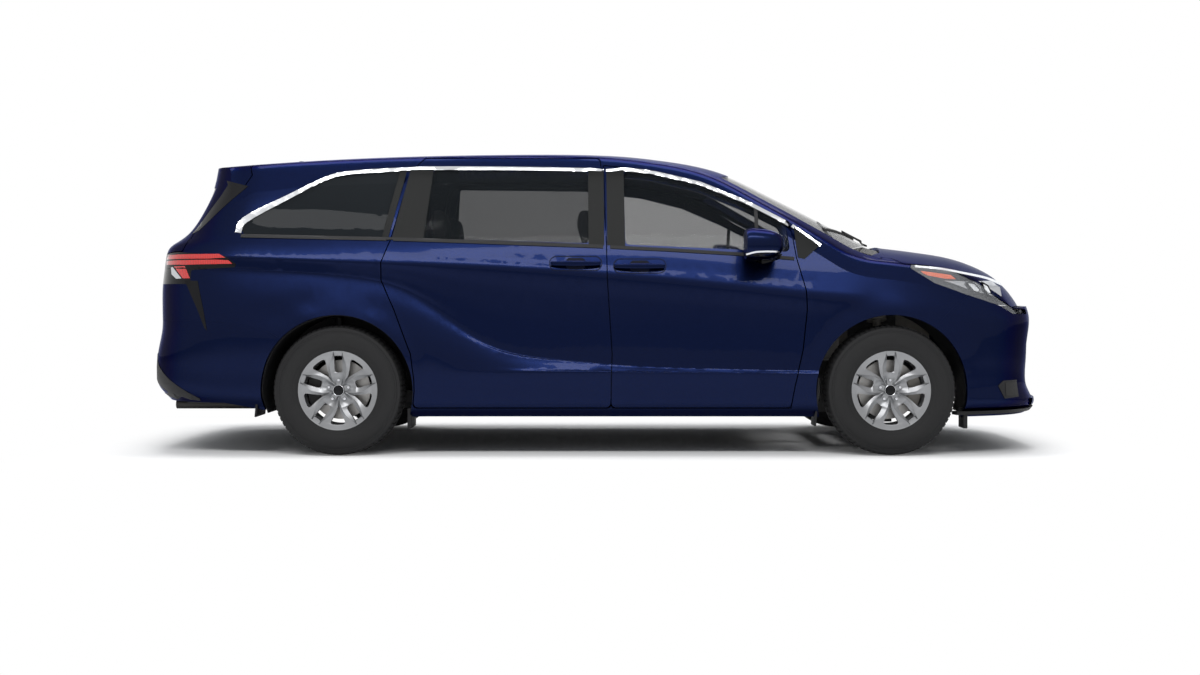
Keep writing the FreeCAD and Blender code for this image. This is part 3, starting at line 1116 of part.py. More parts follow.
def steering():
    """Wheel rim, spokes and column at the driver's place on the left."""
    centre = STEERING_CENTRE
    axis = V(STEERING_AXIS).normalize() * -1
    rim = Part.makeTorus(178, 15, centre, axis)
    boss = tilted_cylinder(52, centre - axis * 40, centre + axis * 8)
    spokes = [tilted_cylinder(13, centre - axis * 12, centre + V(0, s * 172, 0)) for s in (-1, 1)]
    spokes.append(tilted_cylinder(13, centre - axis * 12, centre - V(axis).cross(V(0, 1, 0)) * 172))
    return rim.fuse([boss, steering_column(0)] + spokes)


PIPE_RADIUS = 28.0
ELBOW_RADIUS = 31.0


def pipe_run(points):
    """A round pipe along a few points: straight lengths that end inside a ball at each bend."""
    pieces = [Part.makeSphere(ELBOW_RADIUS, p) for p in points[1:-1]]
    for a, b in zip(points, points[1:]):
        step = (b - a).normalize() * (ELBOW_RADIUS / 4)
        pieces.append(tilted_cylinder(PIPE_RADIUS, a + step, b - step))
    return pieces


def exhaust_line():
    """Pipe from behind the front subframe, silencer ahead of the rear well and tail pipe at the right."""
    low, mid = UNDERSIDE + 8, UNDERSIDE + 90
    bends = [
        V(FRONT_AXLE_X - 342, -150, low + 12), V(at(0.1), -150, low), V(REAR_AXLE_X - 20, -150, low),
        V(REAR_AXLE_X - 210, -150, mid - 40),
    ]
    pieces = pipe_run(bends)
    pieces.append(Part.makeCylinder(95, 500, V(REAR_AXLE_X - 240, 60, mid), V(0, -1, 0)))
    tail = [V(REAR_AXLE_X - 240, -395, mid - 40), V(REAR_AXLE_X - 400, -425, low + 27), V(at(-0.92), -425, low + 27)]
    pieces += pipe_run(tail)
    pieces.append(block(V(at(0.3) - 12, -172, low), V(at(0.3) + 12, -128, FLOOR_TOP - FLOOR_THICK - SEAM)))
    return pieces[0].fuse(pieces[1:])


def fuel_tank():
    """Tank under the floor on the left, a flat box with rounded edges."""
    top = FLOOR_TOP - FLOOR_THICK - SEAM
    outline = [(at(0.16), 195), (at(0.40), 195), (at(0.40), top), (at(0.16), top)]
    return slab(outline, "side", 40, 450, 22)


def mirror_housing(outer):
    """Door mirror: a lofted cap on a short foot that sits on the door's skin."""
    sections = []
    for x, wide, tall in ((1006, 24, 26), (990, 66, 54), (950, 92, 74), (890, 104, 84), (822, 106, 86), (806, 100, 80)):
        points = []
        for i in range(24):
            a = 2 * math.pi * i / 24
            c, s = math.cos(a), math.sin(a)
            points.append(V(
                x, -1052 + wide * math.copysign(abs(c) ** 0.75, c), 1166 + tall * math.copysign(abs(s) ** 0.75, s),
            ))
        curve = Part.BSplineCurve()
        curve.interpolate(points, PeriodicFlag=True)
        sections.append(Part.Wire(curve.toShape()))
    cap = Part.makeLoft(sections, True)
    foot = block(V(880, -1000, 1078), V(975, -880, 1112))
    skin = outer.common(block(V(600, -HALF - OVERRUN, 900), V(1200, -HALF / 2, 1300)))
    return cap.fuse(foot).cut(skin.translated(V(0, -SEAM, 0)))


def build():
    os.makedirs("parts", exist_ok=True)
    parts, outer, panel_space, cabin_space = body_panels()
    nodes = {}
    for name in ("side_frame", "sliding_door", "front_door", "door_glass", "wing"):
        nodes[name + "_right"] = parts[name]
        nodes[name + "_left"] = mirror_of(parts[name])
    for name in ("front_bumper", "front_grille", "rear_bumper"):
        nodes[name] = parts[name]
    for name in ("roof_panel", "cowl_panel", "windscreen", "tailgate", "tailgate_glass"):
        nodes[name] = whole(parts[name])
    for name in ("headlamps", "tail_lamps", "tailgate_lamps", "side_windows"):
        nodes[name] = both_sides(parts[name])
    floor, pad = floor_and_rails(cabin_space)
    arm = block(BONNET_HINGE - V(10, 10, 9), BONNET_HINGE + V(140, 10, 6))
    floor, bonnet = hinge(
        floor, parts["bonnet"], BONNET_HINGE, V(0, 1, 0), HINGE_RADIUS, HINGE_LENGTH, [pad], [arm],
    )
    nodes["floor_pan"] = whole(floor)
    nodes["bonnet"] = whole(bonnet)
    knuckle, axis = front_knuckle()
    nodes["knuckle_right"] = knuckle
    nodes["knuckle_left"] = mirror_of(knuckle)
    nodes["front_subframe"] = whole(subframe(axis))
    nodes["rear_axle"] = whole(rear_suspension())
    for place, axle in (("front", FRONT_AXLE_X), ("rear", REAR_AXLE_X)):
        for kind, shape in (("rim", wheel(axle)), ("tyre", tyre(axle))):
            nodes["%s_%s_right" % (kind, place)] = shape
            nodes["%s_%s_left" % (kind, place)] = mirror_of(shape)
    nodes["wheel_liners"] = Part.makeCompound([both_sides(s) for s in liners(panel_space, axis)])
    nodes["dashboard"] = dash(cabin_space)
    nodes["steering_wheel"] = steering()
    nodes["exhaust"] = exhaust_line()
    nodes["fuel_tank"] = fuel_tank()
    nodes["engine_block"] = block(V(FRONT_AXLE_X - 180, -330, UNDERSIDE + 47), V(FRONT_AXLE_X + 360, 330, 940))
    seats = [
        seat(at(b), side * SEAT_OFFSET, SEAT_WIDTH, FLOOR_TOP) for b in (0.56, 0.28) for side in (-1, 1)
    ]
    nodes["seats"] = Part.makeCompound(seats)
    nodes["rear_bench"] = seat(at(-0.02), 0, SEAT_WIDTH * 2.2, FLOOR_SHARES[5][1] * HEIGHT)
    mirror = mirror_housing(outer)
    nodes["mirror_right"] = mirror
    nodes["mirror_left"] = mirror_of(mirror)
    for name, shape in nodes.items():
        shape.exportStep("parts/%s.step" % name)


build()
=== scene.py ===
"""A dark blue minivan on a white studio floor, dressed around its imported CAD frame."""
import math

import bmesh
import bpy
from mathutils import Matrix, Vector
from mathutils.bvhtree import BVHTree


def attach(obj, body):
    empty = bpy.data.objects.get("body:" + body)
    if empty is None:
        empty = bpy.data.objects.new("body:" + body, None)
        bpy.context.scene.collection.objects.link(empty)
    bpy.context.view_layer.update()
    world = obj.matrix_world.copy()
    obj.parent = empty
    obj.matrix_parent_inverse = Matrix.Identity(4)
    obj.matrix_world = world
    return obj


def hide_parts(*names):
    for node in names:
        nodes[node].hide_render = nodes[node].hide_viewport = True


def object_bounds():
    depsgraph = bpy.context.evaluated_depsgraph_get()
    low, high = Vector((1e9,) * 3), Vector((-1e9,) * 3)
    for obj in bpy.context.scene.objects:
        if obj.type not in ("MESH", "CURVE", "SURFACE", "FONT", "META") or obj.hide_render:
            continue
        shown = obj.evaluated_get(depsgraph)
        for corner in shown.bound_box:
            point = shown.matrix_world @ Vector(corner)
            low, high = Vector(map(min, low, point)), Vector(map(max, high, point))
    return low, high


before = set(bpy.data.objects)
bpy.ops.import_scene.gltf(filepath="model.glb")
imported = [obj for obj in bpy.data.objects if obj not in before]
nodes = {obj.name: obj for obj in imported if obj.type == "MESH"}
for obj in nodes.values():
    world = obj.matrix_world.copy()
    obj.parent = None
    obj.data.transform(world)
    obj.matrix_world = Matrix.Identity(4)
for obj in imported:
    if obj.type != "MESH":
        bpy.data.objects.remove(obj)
cad_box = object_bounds()
collection = bpy.context.scene.collection
bpy.context.scene.view_settings.view_transform = "Standard"


# Shader values and materials.
class Field:
    """A number, colour or vector that varies over a surface."""

    def __init__(self, finish, socket):
        self.finish = finish
        self.socket = socket

    def maths(self, operation, *others):
        values = dict(enumerate((self,) + others))
        return self.finish.field("ShaderNodeMath", values, operation=operation)

    def __add__(self, other):
        return self.maths("ADD", other)

    def __sub__(self, other):
        return self.maths("SUBTRACT", other)

    def __mul__(self, other):
        return self.maths("MULTIPLY", other)

    def __rsub__(self, other):
        return self.finish.field("ShaderNodeMath", {0: other, 1: self}, operation="SUBTRACT")

    __radd__ = __add__
    __rmul__ = __mul__


class Finish:
    """One material, with its principled shader and the place on the object as a field."""

    def __init__(self, name, colour, roughness, metallic=0.0, **sockets):
        self.material = bpy.data.materials.new(name)
        self.material.use_nodes = True
        self.tree = self.material.node_tree
        self.shader = self.tree.nodes["Principled BSDF"]
        self.place = self.field("ShaderNodeTexCoord", {}, output="Object")
        self.set(**{"Base Color": (*colour, 1.0), "Roughness": roughness, "Metallic": metallic})
        self.set(**{key.replace("_", " "): value for key, value in sockets.items()})

    def node(self, kind, values, **settings):
        made = self.tree.nodes.new(kind)
        for key, value in settings.items():
            setattr(made, key, value)
        for key, value in values.items():
            self.feed(made.inputs[key], value)
        return made

    def field(self, kind, values, output=0, **settings):
        return Field(self, self.node(kind, values, **settings).outputs[output])

    def feed(self, socket, value):
        if isinstance(value, Field):
            self.tree.links.new(value.socket, socket)
        else:
            socket.default_value = value

    def set(self, **values):
        for key, value in values.items():
            self.feed(self.shader.inputs[key], value)

    def noise(self, scale, detail=2.0):
        values = {"Vector": self.place, "Scale": scale, "Detail": detail}
        return self.field("ShaderNodeTexNoise", values, output="Fac")

    def spots(self, scale, output="Distance"):
        return self.field("ShaderNodeTexVoronoi", {"Vector": self.place, "Scale": scale}, output=output)

    def between(self, share, low, high):
        """A colour from low to high by a share from 0 to 1."""
        return self.field(
            "ShaderNodeMix", {"Factor": share, 6: (*low, 1), 7: (*high, 1)}, output=2, data_type="RGBA",
        )

    def bump(self, height, distance, strength=1.0):
        normal = self.field(
            "ShaderNodeBump", {"Height": height, "Distance": distance, "Strength": strength}, output="Normal",
        )
        self.set(Normal=normal)


def blue_paint():
    paint = Finish("blue paint", (0.004, 0.008, 0.036), 0.28, 1.0, Coat_Weight=0.08, Coat_Roughness=0.03)
    paint.set(**{"Specular Tint": (0.16, 0.20, 0.42, 1.0)})
    flake = paint.spots(1900.0, "Color")
    glint = paint.field("ShaderNodeSeparateColor", {"Color": flake}, output="Red")
    paint.set(**{"Base Color": paint.between(glint * 0.6, (0.0026, 0.0052, 0.0225), (0.0062, 0.0125, 0.053))})
    paint.set(Roughness=0.24 + glint * 0.10)
    return paint.material


def moulded_plastic(name, colour, roughness, grain=900.0, depth=0.00012, shine=0.3):
    plastic = Finish(name, colour, roughness, Specular_IOR_Level=shine)
    grain = plastic.noise(grain, 3.0)
    plastic.set(Roughness=roughness - 0.06 + grain * 0.12)
    plastic.bump(grain, depth)
    return plastic.material


def gloss_black(name):
    gloss = Finish(
        name, (0.006, 0.006, 0.007), 0.12, Coat_Weight=0.05, Coat_Roughness=0.05, Specular_IOR_Level=0.10,
    )
    gloss.set(Roughness=0.10 + gloss.noise(40.0) * 0.06)
    return gloss.material


def tinted_glass(name, front, rear, edge):
    """Dark glass whose shade goes from a front value to a rear one behind an upright line."""
    tint = Finish(name, (0.010, 0.012, 0.014), 0.02, Specular_IOR_Level=0.035)
    along = tint.field("ShaderNodeSeparateXYZ", {"Vector": tint.place}, output="X")
    behind = tint.field("ShaderNodeMath", {0: along, 1: edge}, operation="LESS_THAN")
    tint.set(Alpha=behind * (rear - front) + front)
    tint.set(Roughness=0.015 + tint.noise(3.0) * 0.02)
    tint.set(**{"Base Color": tint.between(tint.noise(1.5), (0.008, 0.010, 0.012), (0.014, 0.016, 0.018))})
    return tint.material


def tyre_rubber():
    rubber = Finish("tyre rubber", (0.030, 0.030, 0.031), 0.72, Specular_IOR_Level=0.25)
    dust = rubber.noise(14.0, 4.0)
    rubber.set(**{"Base Color": rubber.between(dust, (0.007, 0.007, 0.008), (0.014, 0.014, 0.014))})
    rubber.set(Roughness=0.62 + dust * 0.18)
    rubber.bump(rubber.noise(1600.0), 0.0001)
    return rubber.material


def satin_alloy():
    alloy = Finish("satin alloy", (0.29, 0.295, 0.305), 0.34, 0.9)
    grain = alloy.noise(700.0, 2.0)
    alloy.set(Roughness=0.32 + grain * 0.10)
    alloy.set(**{"Base Color": alloy.between(alloy.noise(5.0), (0.210, 0.213, 0.220), (0.260, 0.264, 0.272))})
    return alloy.material


def metal(name, colour, roughness, spread=0.12):
    steel = Finish(name, colour, roughness, 1.0)
    steel.set(Roughness=roughness - spread / 2 + steel.noise(60.0, 4.0) * spread)
    return steel.material


def rough_steel(name, low, high):
    iron = Finish(name, low, 0.55, 0.4)
    patches = iron.noise(35.0, 5.0)
    iron.set(**{"Base Color": iron.between(patches, low, high)})
    iron.set(Roughness=0.45 + patches * 0.25)
    iron.bump(iron.noise(400.0, 3.0), 0.0003)
    return iron.material


def lamp_lens(name, low, high, alpha):
    lens = Finish(name, low, 0.06, 0.0, Coat_Weight=0.5)
    values = {"Vector": lens.place, "Scale": 30.0, "Distortion": 0.3}
    ribs = lens.field("ShaderNodeTexWave", values, output="Fac", bands_direction="X")
    lens.set(**{"Base Color": lens.between(ribs, low, high), "Alpha": alpha})
    lens.set(Roughness=0.05 + ribs * 0.06)
    return lens.material


paint = blue_paint()
black_trim = moulded_plastic("black trim", (0.011, 0.011, 0.012), 0.55, shine=0.18)
grey_trim = moulded_plastic("grey trim", (0.085, 0.088, 0.092), 0.40)
pillar_black = moulded_plastic("pillar black", (0.009, 0.0095, 0.0095), 0.50, shine=0.10)
blade_black = moulded_plastic("blade black", (0.007, 0.007, 0.008), 0.45, shine=0.10)
cabin_trim = moulded_plastic("cabin trim", (0.045, 0.045, 0.048), 0.60, 500.0, 0.0002)
gloss = gloss_black("gloss black")
front_glass = tinted_glass("clear tinted glass", 0.33, 0.33, 0.0)
side_glass = tinted_glass("dark tinted glass", 0.47, 0.985, -1.02)
rear_glass = tinted_glass("rear tinted glass", 0.66, 0.66, 0.0)
rubber = tyre_rubber()
alloy = satin_alloy()
chrome = metal("bright trim", (0.56, 0.57, 0.59), 0.20, 0.06)
steel = metal("dull steel", (0.33, 0.32, 0.31), 0.42, 0.2)
sooty_steel = metal("sooty steel", (0.050, 0.048, 0.046), 0.55, 0.2)
iron = rough_steel("cast iron", (0.20, 0.19, 0.17), (0.34, 0.32, 0.29))
underbody = rough_steel("underbody black", (0.020, 0.020, 0.021), (0.040, 0.040, 0.040))
clear_lens = lamp_lens("clear lens", (0.30, 0.31, 0.33), (0.42, 0.43, 0.45), 0.16)
amber = lamp_lens("amber lens", (0.60, 0.075, 0.001), (0.90, 0.13, 0.003), 1.0)
glow_red = lamp_lens("red light band", (0.35, 0.006, 0.006), (0.62, 0.020, 0.016), 1.0)
glow_white = lamp_lens("white light guide", (0.78, 0.80, 0.82), (0.95, 0.96, 0.97), 1.0)
lamp_silver = metal("lamp silver", (0.55, 0.56, 0.58), 0.22, 0.10)
bowl = moulded_plastic("lamp bowl", (0.055, 0.056, 0.058), 0.35)
# Dark blue painted shade, standing in for the shadow in the handle bowls' rims and finger recesses.
painted_shade_blue = moulded_plastic("handle painted shade", (0.002, 0.003, 0.010), 0.45, shine=0.08)
mesh_black = moulded_plastic("pocket net", (0.006, 0.006, 0.006), 0.60, 300.0, 0.0015)
plate_white = moulded_plastic("blank plate", (0.62, 0.63, 0.64), 0.45)
cloth = moulded_plastic("seat cloth", (0.060, 0.058, 0.060), 0.85, 700.0, 0.0004)

FINISHES = (
    (("side_frame", "sliding_door", "front_door", "wing", "roof_panel", "front_bumper", "rear_bumper",
      "tailgate", "bonnet", "mirror"), paint),
    (("door_glass", "windscreen"), front_glass),
    (("side_windows",), side_glass),
    (("tailgate_glass",), rear_glass),
    (("tyre",), rubber),
    (("rim",), alloy),
    (("front_grille",), grey_trim),
    (("headlamps",), clear_lens),
    (("tail_lamps", "tailgate_lamps"), gloss),
    (("knuckle", "engine_block"), iron),
    (("exhaust",), sooty_steel),
    (("floor_pan", "front_subframe", "rear_axle", "fuel_tank"), underbody),
    (("wheel_liners", "cowl_panel"), black_trim),
    (("dashboard", "steering_wheel", "seats", "rear_bench"), cabin_trim),
)


for starts, material in FINISHES:
    for name, node in nodes.items():
        if name.startswith(starts):
            node.data.materials.clear()
            node.data.materials.append(material)


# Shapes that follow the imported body.
class Skin:
    """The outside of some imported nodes, found by looking at them along one axis."""

    def __init__(self, *names):
        corners = []
        faces = []
        for name in names:
            mesh = nodes[name].data
            base = len(corners)
            corners += [v.co.copy() for v in mesh.vertices]
            faces += [[base + i for i in face.vertices] for face in mesh.polygons]
        self.tree = BVHTree.FromPolygons(corners, faces)

    def depth(self, start, way):
        return self.tree.ray_cast(start, way)[3]


VIEWS = {
    "side": (lambda a, b: Vector((a, -3.0, b)), Vector((0, 1, 0)), Vector((1, 0, 0)), Vector((0, 0, 1))),
    "front": (lambda a, b: Vector((4.0, a, b)), Vector((-1, 0, 0)), Vector((0, 1, 0)), Vector((0, 0, 1))),
    "rear": (lambda a, b: Vector((-4.0, a, b)), Vector((1, 0, 0)), Vector((0, 1, 0)), Vector((0, 0, 1))),
    "top": (lambda a, b: Vector((a, b, 3.0)), Vector((0, 0, -1)), Vector((1, 0, 0)), Vector((0, 1, 0))),
}


def make(name, bm, material, body):
    """A finished mesh as an object that rides on a body."""
    mesh = bpy.data.meshes.new(name)
    bmesh.ops.recalc_face_normals(bm, faces=bm.faces)
    for face in bm.faces:
        face.smooth = True
    for edge in bm.edges:
        edge.smooth = len(edge.link_faces) != 2 or edge.calc_face_angle(0.0) < math.radians(32)
    bm.to_mesh(mesh)
    bm.free()
    mesh.materials.append(material)
    piece = bpy.data.objects.new(name, mesh)
    collection.objects.link(piece)
    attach(piece, body)
    return piece


def other_side(bm):
    """The same mesh on the other side of the centre plane."""
    twin = bm.copy()
    bmesh.ops.scale(twin, vec=(1, -1, 1), verts=twin.verts)
    return twin


def pair(name, bm, material, bodies=("root", "root")):
    """A right-hand mesh and its mirror image."""
    twin = other_side(bm)
    right = make(name + "_right", bm, material, bodies[0])
    left = make(name + "_left", twin, material, bodies[1])
    return right, left


def draped(outline, view, skin, proud, thick, pitch=0.02, even=0):
    """A sheet with an outline seen along one axis, laid on the body's skin, evened and made thick."""
    place, way, across, up = VIEWS[view]
    bm = bmesh.new()
    bm.faces.new([bm.verts.new(place(a, b)) for a, b in outline])
    for axis, values in ((across, [p[0] for p in outline]), (up, [p[1] for p in outline])):
        steps = int((max(values) - min(values)) / pitch)
        for i in range(1, steps + 1):
            cut = axis * (min(values) + (max(values) - min(values)) * i / (steps + 1))
            everything = bm.verts[:] + bm.edges[:] + bm.faces[:]
            bmesh.ops.bisect_plane(bm, geom=everything, plane_co=cut, plane_no=axis)
    found = {}
    for vert in bm.verts:
        depth = skin.depth(vert.co, way)
        if depth is not None:
            found[vert] = depth
    missing = [v for v in bm.verts if v not in found]
    for _ in range(60):
        for vert in missing[:]:
            near = [found[e.other_vert(vert)] for e in vert.link_edges if e.other_vert(vert) in found]
            if near:
                found[vert] = sum(near) / len(near)
                missing.remove(vert)
        if not missing:
            break
    for _ in range(even):
        found = {
            vert: min(depth, sum(found[e.other_vert(vert)] for e in vert.link_edges) / len(vert.link_edges))
            for vert, depth in found.items()
        }
    for vert in bm.verts:
        vert.co += way * (found.get(vert, 2.0) - proud)
    grown = bmesh.ops.extrude_face_region(bm, geom=bm.faces[:])
    moved = [item for item in grown["geom"] if isinstance(item, bmesh.types.BMVert)]
    bmesh.ops.translate(bm, vec=way * thick, verts=moved)
    return bm


def ribbon(line, width):
    """The outline of a strip along a line, as wide as one value or a list of them says."""
    if not isinstance(width, list):
        width = [width] * len(line)
    high = []
    low = []
    for i, point in enumerate(line):
        before = Vector(line[max(i - 1, 0)])
        after = Vector(line[min(i + 1, len(line) - 1)])
        way = (after - before).normalized()
        side = Vector((-way.y, way.x)) * width[i] / 2
        high.append(tuple(Vector(point) + side))
        low.append(tuple(Vector(point) - side))
    return high + low[::-1]


def curve_points(line, count):
    """Points along a smooth line through a few given ones."""
    points = [Vector(p) for p in line]
    points = [points[0] * 2 - points[1]] + points + [points[-1] * 2 - points[-2]]
    out = []
    for i in range(1, len(points) - 2):
        a, b, c, d = points[i - 1:i + 3]
        for step in range(count):
            t = step / count
            bend = (2 * a - 5 * b + 4 * c - d) * t ** 2 + (3 * b - a - 3 * c + d) * t ** 3
            out.append(tuple(0.5 * (2 * b + (c - a) * t + bend)))
    return out + [tuple(points[-2])]


def rounded_box(low, high, radius, segments=3):
    bm = bmesh.new()
    bmesh.ops.create_cube(bm, size=1.0)
    size = Vector(high) - Vector(low)
    bmesh.ops.scale(bm, vec=size, verts=bm.verts)
    bmesh.ops.translate(bm, vec=(Vector(high) + Vector(low)) / 2, verts=bm.verts)
    bmesh.ops.bevel(
        bm, geom=bm.edges[:], offset=radius, affect="EDGES", segments=segments, profile=0.5, material=-1,
    )
    return bm


def turned(profile, centre, axis, steps, first=(1, 0, 0)):
    """A shape spun once round an axis from points of (reach along the axis, radius)."""
    axis = Vector(axis).normalized()
    out = (Vector(first) - axis * axis.dot(Vector(first))).normalized()
    bm = bmesh.new()
    verts = [bm.verts.new(Vector(centre) + axis * along + out * radius) for along, radius in profile]
    edges = [bm.edges.new(two) for two in zip(verts, verts[1:])]
    bmesh.ops.spin(
        bm, geom=verts + edges, cent=centre, axis=axis, angle=math.tau, steps=steps, use_merge=True,
    )
    bmesh.ops.remove_doubles(bm, verts=bm.verts, dist=0.00001)
    return bm


def joined(*meshes):
    """Several meshes in one."""
    whole = meshes[0]
    for other in meshes[1:]:
        spare = bpy.data.meshes.new("spare")
        other.to_mesh(spare)
        other.free()
        whole.from_mesh(spare)
        bpy.data.meshes.remove(spare)
    return whole


ROOT = ("root", "root")
DOORS = ("door_right", "door_left")
AXLES = (("front", 1.622), ("rear", -1.438))
SIDES = (("right", -1), ("left", 1))
HALF_TRACK = 0.865
WHEEL_HEIGHT = 0.362
STRIP_WIDTH = 0.020
STRIP_GROWTH = 0.016
STRIP_PROUD = 0.006
STRIP_THICK = 0.010
BELT_WIDTHS = (0.020, 0.018)
BELT_PROUD = 0.005
BELT_THICK = 0.008
COVER_EVEN = 30
side_skin = Skin(
    "side_frame_right", "front_door_right", "sliding_door_right", "wing_right", "front_bumper", "rear_bumper",
    "roof_panel", "bonnet", "tailgate", "door_glass_right", "side_windows", "cowl_panel",
)
front_skin = Skin("front_bumper", "bonnet", "front_grille", "wing_right", "wing_left")
rear_skin = Skin(
    "rear_bumper", "tailgate", "tailgate_glass", "roof_panel", "side_frame_right", "side_frame_left",
)
top_skin = Skin("roof_panel", "windscreen", "cowl_panel", "bonnet", "tailgate")


def window_trim():
    """Bright strips over the side glass, black mouldings under it and dark covers on the pillars."""
    rear = curve_points([(-2.008, 1.240), (-1.977, 1.312), (-1.743, 1.444), (-1.530, 1.558), (-1.380, 1.590),
                         (-1.057, 1.610), (-0.935, 1.614), (-0.50, 1.612), (-0.06, 1.604), (0.034, 1.599)], 4)
    door = [(0.048, 1.598), (0.145, 1.607), (0.295, 1.594), (0.578, 1.526), (0.830, 1.421), (1.052, 1.303)]
    sail = [(1.090, 1.282), (1.245, 1.168)]
    for name, line, bodies in (("rear_bright_strip", rear, ROOT), ("door_bright_strip", door, DOORS)):
        widths = [STRIP_WIDTH + STRIP_GROWTH * max(0.0, min(1.0, (-1.62 - x) / 0.34)) for x, z in line]
        strip = draped(ribbon(line, widths), "side", side_skin, STRIP_PROUD, STRIP_THICK, even=6)
        pair(name, strip, chrome, bodies)
    strip = draped(ribbon(sail, 0.018), "side", side_skin, STRIP_PROUD, STRIP_THICK, even=6)
    pair("sail_bright_strip", strip, chrome)
    belt = [(-1.990, 1.222), (-1.155, 1.203), (-0.900, 1.195), (-0.45, 1.179), (0.030, 1.161)]
    strip = draped(ribbon(belt, BELT_WIDTHS[0]), "side", side_skin, BELT_PROUD, BELT_THICK)
    pair("rear_belt_strip", strip, black_trim)
    belt = [(0.050, 1.159), (0.40, 1.142), (0.80, 1.118), (1.092, 1.094)]
    strip = draped(ribbon(belt, BELT_WIDTHS[1]), "side", side_skin, BELT_PROUD, BELT_THICK)
    pair("door_belt_strip", strip, black_trim, DOORS)
    quarter_edge = [(-1.166, 1.214), (-1.082, 1.600), (-1.120, 1.598), (-1.202, 1.215)]
    rear_pillar = [(-1.146, 1.210), (-1.062, 1.602), (-0.932, 1.604), (-0.972, 1.204)]
    slider_pillar = [(-0.052, 1.170), (-0.056, 1.597), (0.032, 1.593), (0.036, 1.168)]
    door_pillar = [(0.052, 1.168), (0.048, 1.591), (0.146, 1.600), (0.152, 1.162)]
    sail_corner = [(1.112, 1.100), (1.096, 1.272), (1.235, 1.166), (1.150, 1.092)]
    for name, cover, proud, bodies in (
        ("quarter_edge_cover", quarter_edge, 0.004, ROOT), ("rear_pillar_cover", rear_pillar, 0.002, ROOT),
        ("slider_pillar_cover", slider_pillar, 0.002, ROOT), ("door_pillar_cover", door_pillar, 0.002, DOORS),
        ("sail_cover", sail_corner, 0.002, ROOT),
    ):
        sheet = draped(cover, "side", side_skin, proud, proud + 0.002, even=COVER_EVEN)
        pair(name, sheet, pillar_black, bodies)
    bar = [(0.876, 1.122), (0.880, 1.390), (0.900, 1.380), (0.898, 1.120)]
    pair("quarter_light_bar", draped(bar, "side", side_skin, 0.003, 0.004), black_trim, DOORS)


def door_handles():
    """Pull handles: a curved bar on two feet."""
    for name, start, end, height, bodies in (
        ("slider_handle", -0.262, 0.016, 1.065, ROOT), ("door_handle", 0.090, 0.370, 1.050, DOORS),
    ):
        middle = (start + end) / 2
        y = -3.0 + side_skin.depth(Vector((middle, -3.0, height)), Vector((0, 1, 0)))
        bar = rounded_box((start, y - 0.036, height - 0.015), (end, y - 0.021, height + 0.015), 0.006, 3)
        along = [e for e in bar.edges if abs((e.verts[0].co - e.verts[1].co).x) > 0.1]
        bmesh.ops.subdivide_edges(bar, edges=along, cuts=14)
        for vert in bar.verts:
            share = (vert.co.x - middle) / (end - middle)
            vert.co.y += 0.013 * share ** 4
            vert.co.z = height + (vert.co.z - height) * (1 - 0.25 * share ** 2)
        feet = []
        for x in (start + 0.026, end - 0.026):
            low = (x - 0.022, y - 0.026, height - 0.010)
            feet.append(rounded_box(low, (x + 0.022, y + 0.010, height + 0.010), 0.004, 2))
        pair(name, joined(bar, *feet), paint, bodies)


def wipers():
    for name, foot, tip in (("right", (1.62, -0.10), (1.30, -0.62)), ("left", (1.60, 0.52), (1.36, -0.04))):
        line = [tuple(Vector(foot).lerp(Vector(tip), i / 8)) for i in range(9)]
        blade = draped(ribbon(line[2:], 0.014), "top", top_skin, 0.014, 0.014)
        start = (foot[0] + 0.03, foot[1] + 0.02)
        arm = draped(ribbon([start] + line[:5], 0.020), "top", top_skin, 0.026, 0.012)
        make("wiper_" + name, joined(blade, arm), black_trim, "root")


def roof_fin():
    """The aerial's fin on the rear of the roof."""
    bm = bmesh.new()
    bmesh.ops.create_uvsphere(bm, u_segments=24, v_segments=12, radius=1.0)
    top = 3.0 - top_skin.depth(Vector((-1.80, 0, 3.0)), Vector((0, 0, -1)))
    bmesh.ops.delete(bm, geom=[v for v in bm.verts if v.co.z < -0.2], context="VERTS")
    for vert in bm.verts:
        share = max(vert.co.z, 0.0)
        vert.co = Vector((
            -1.81 + vert.co.x * (0.085 - 0.045 * share) - 0.035 * share,
            vert.co.y * (0.032 - 0.016 * share),
            top - 0.002 + 0.034 * vert.co.z,
        ))
    make("roof_fin", bm, paint, "root")


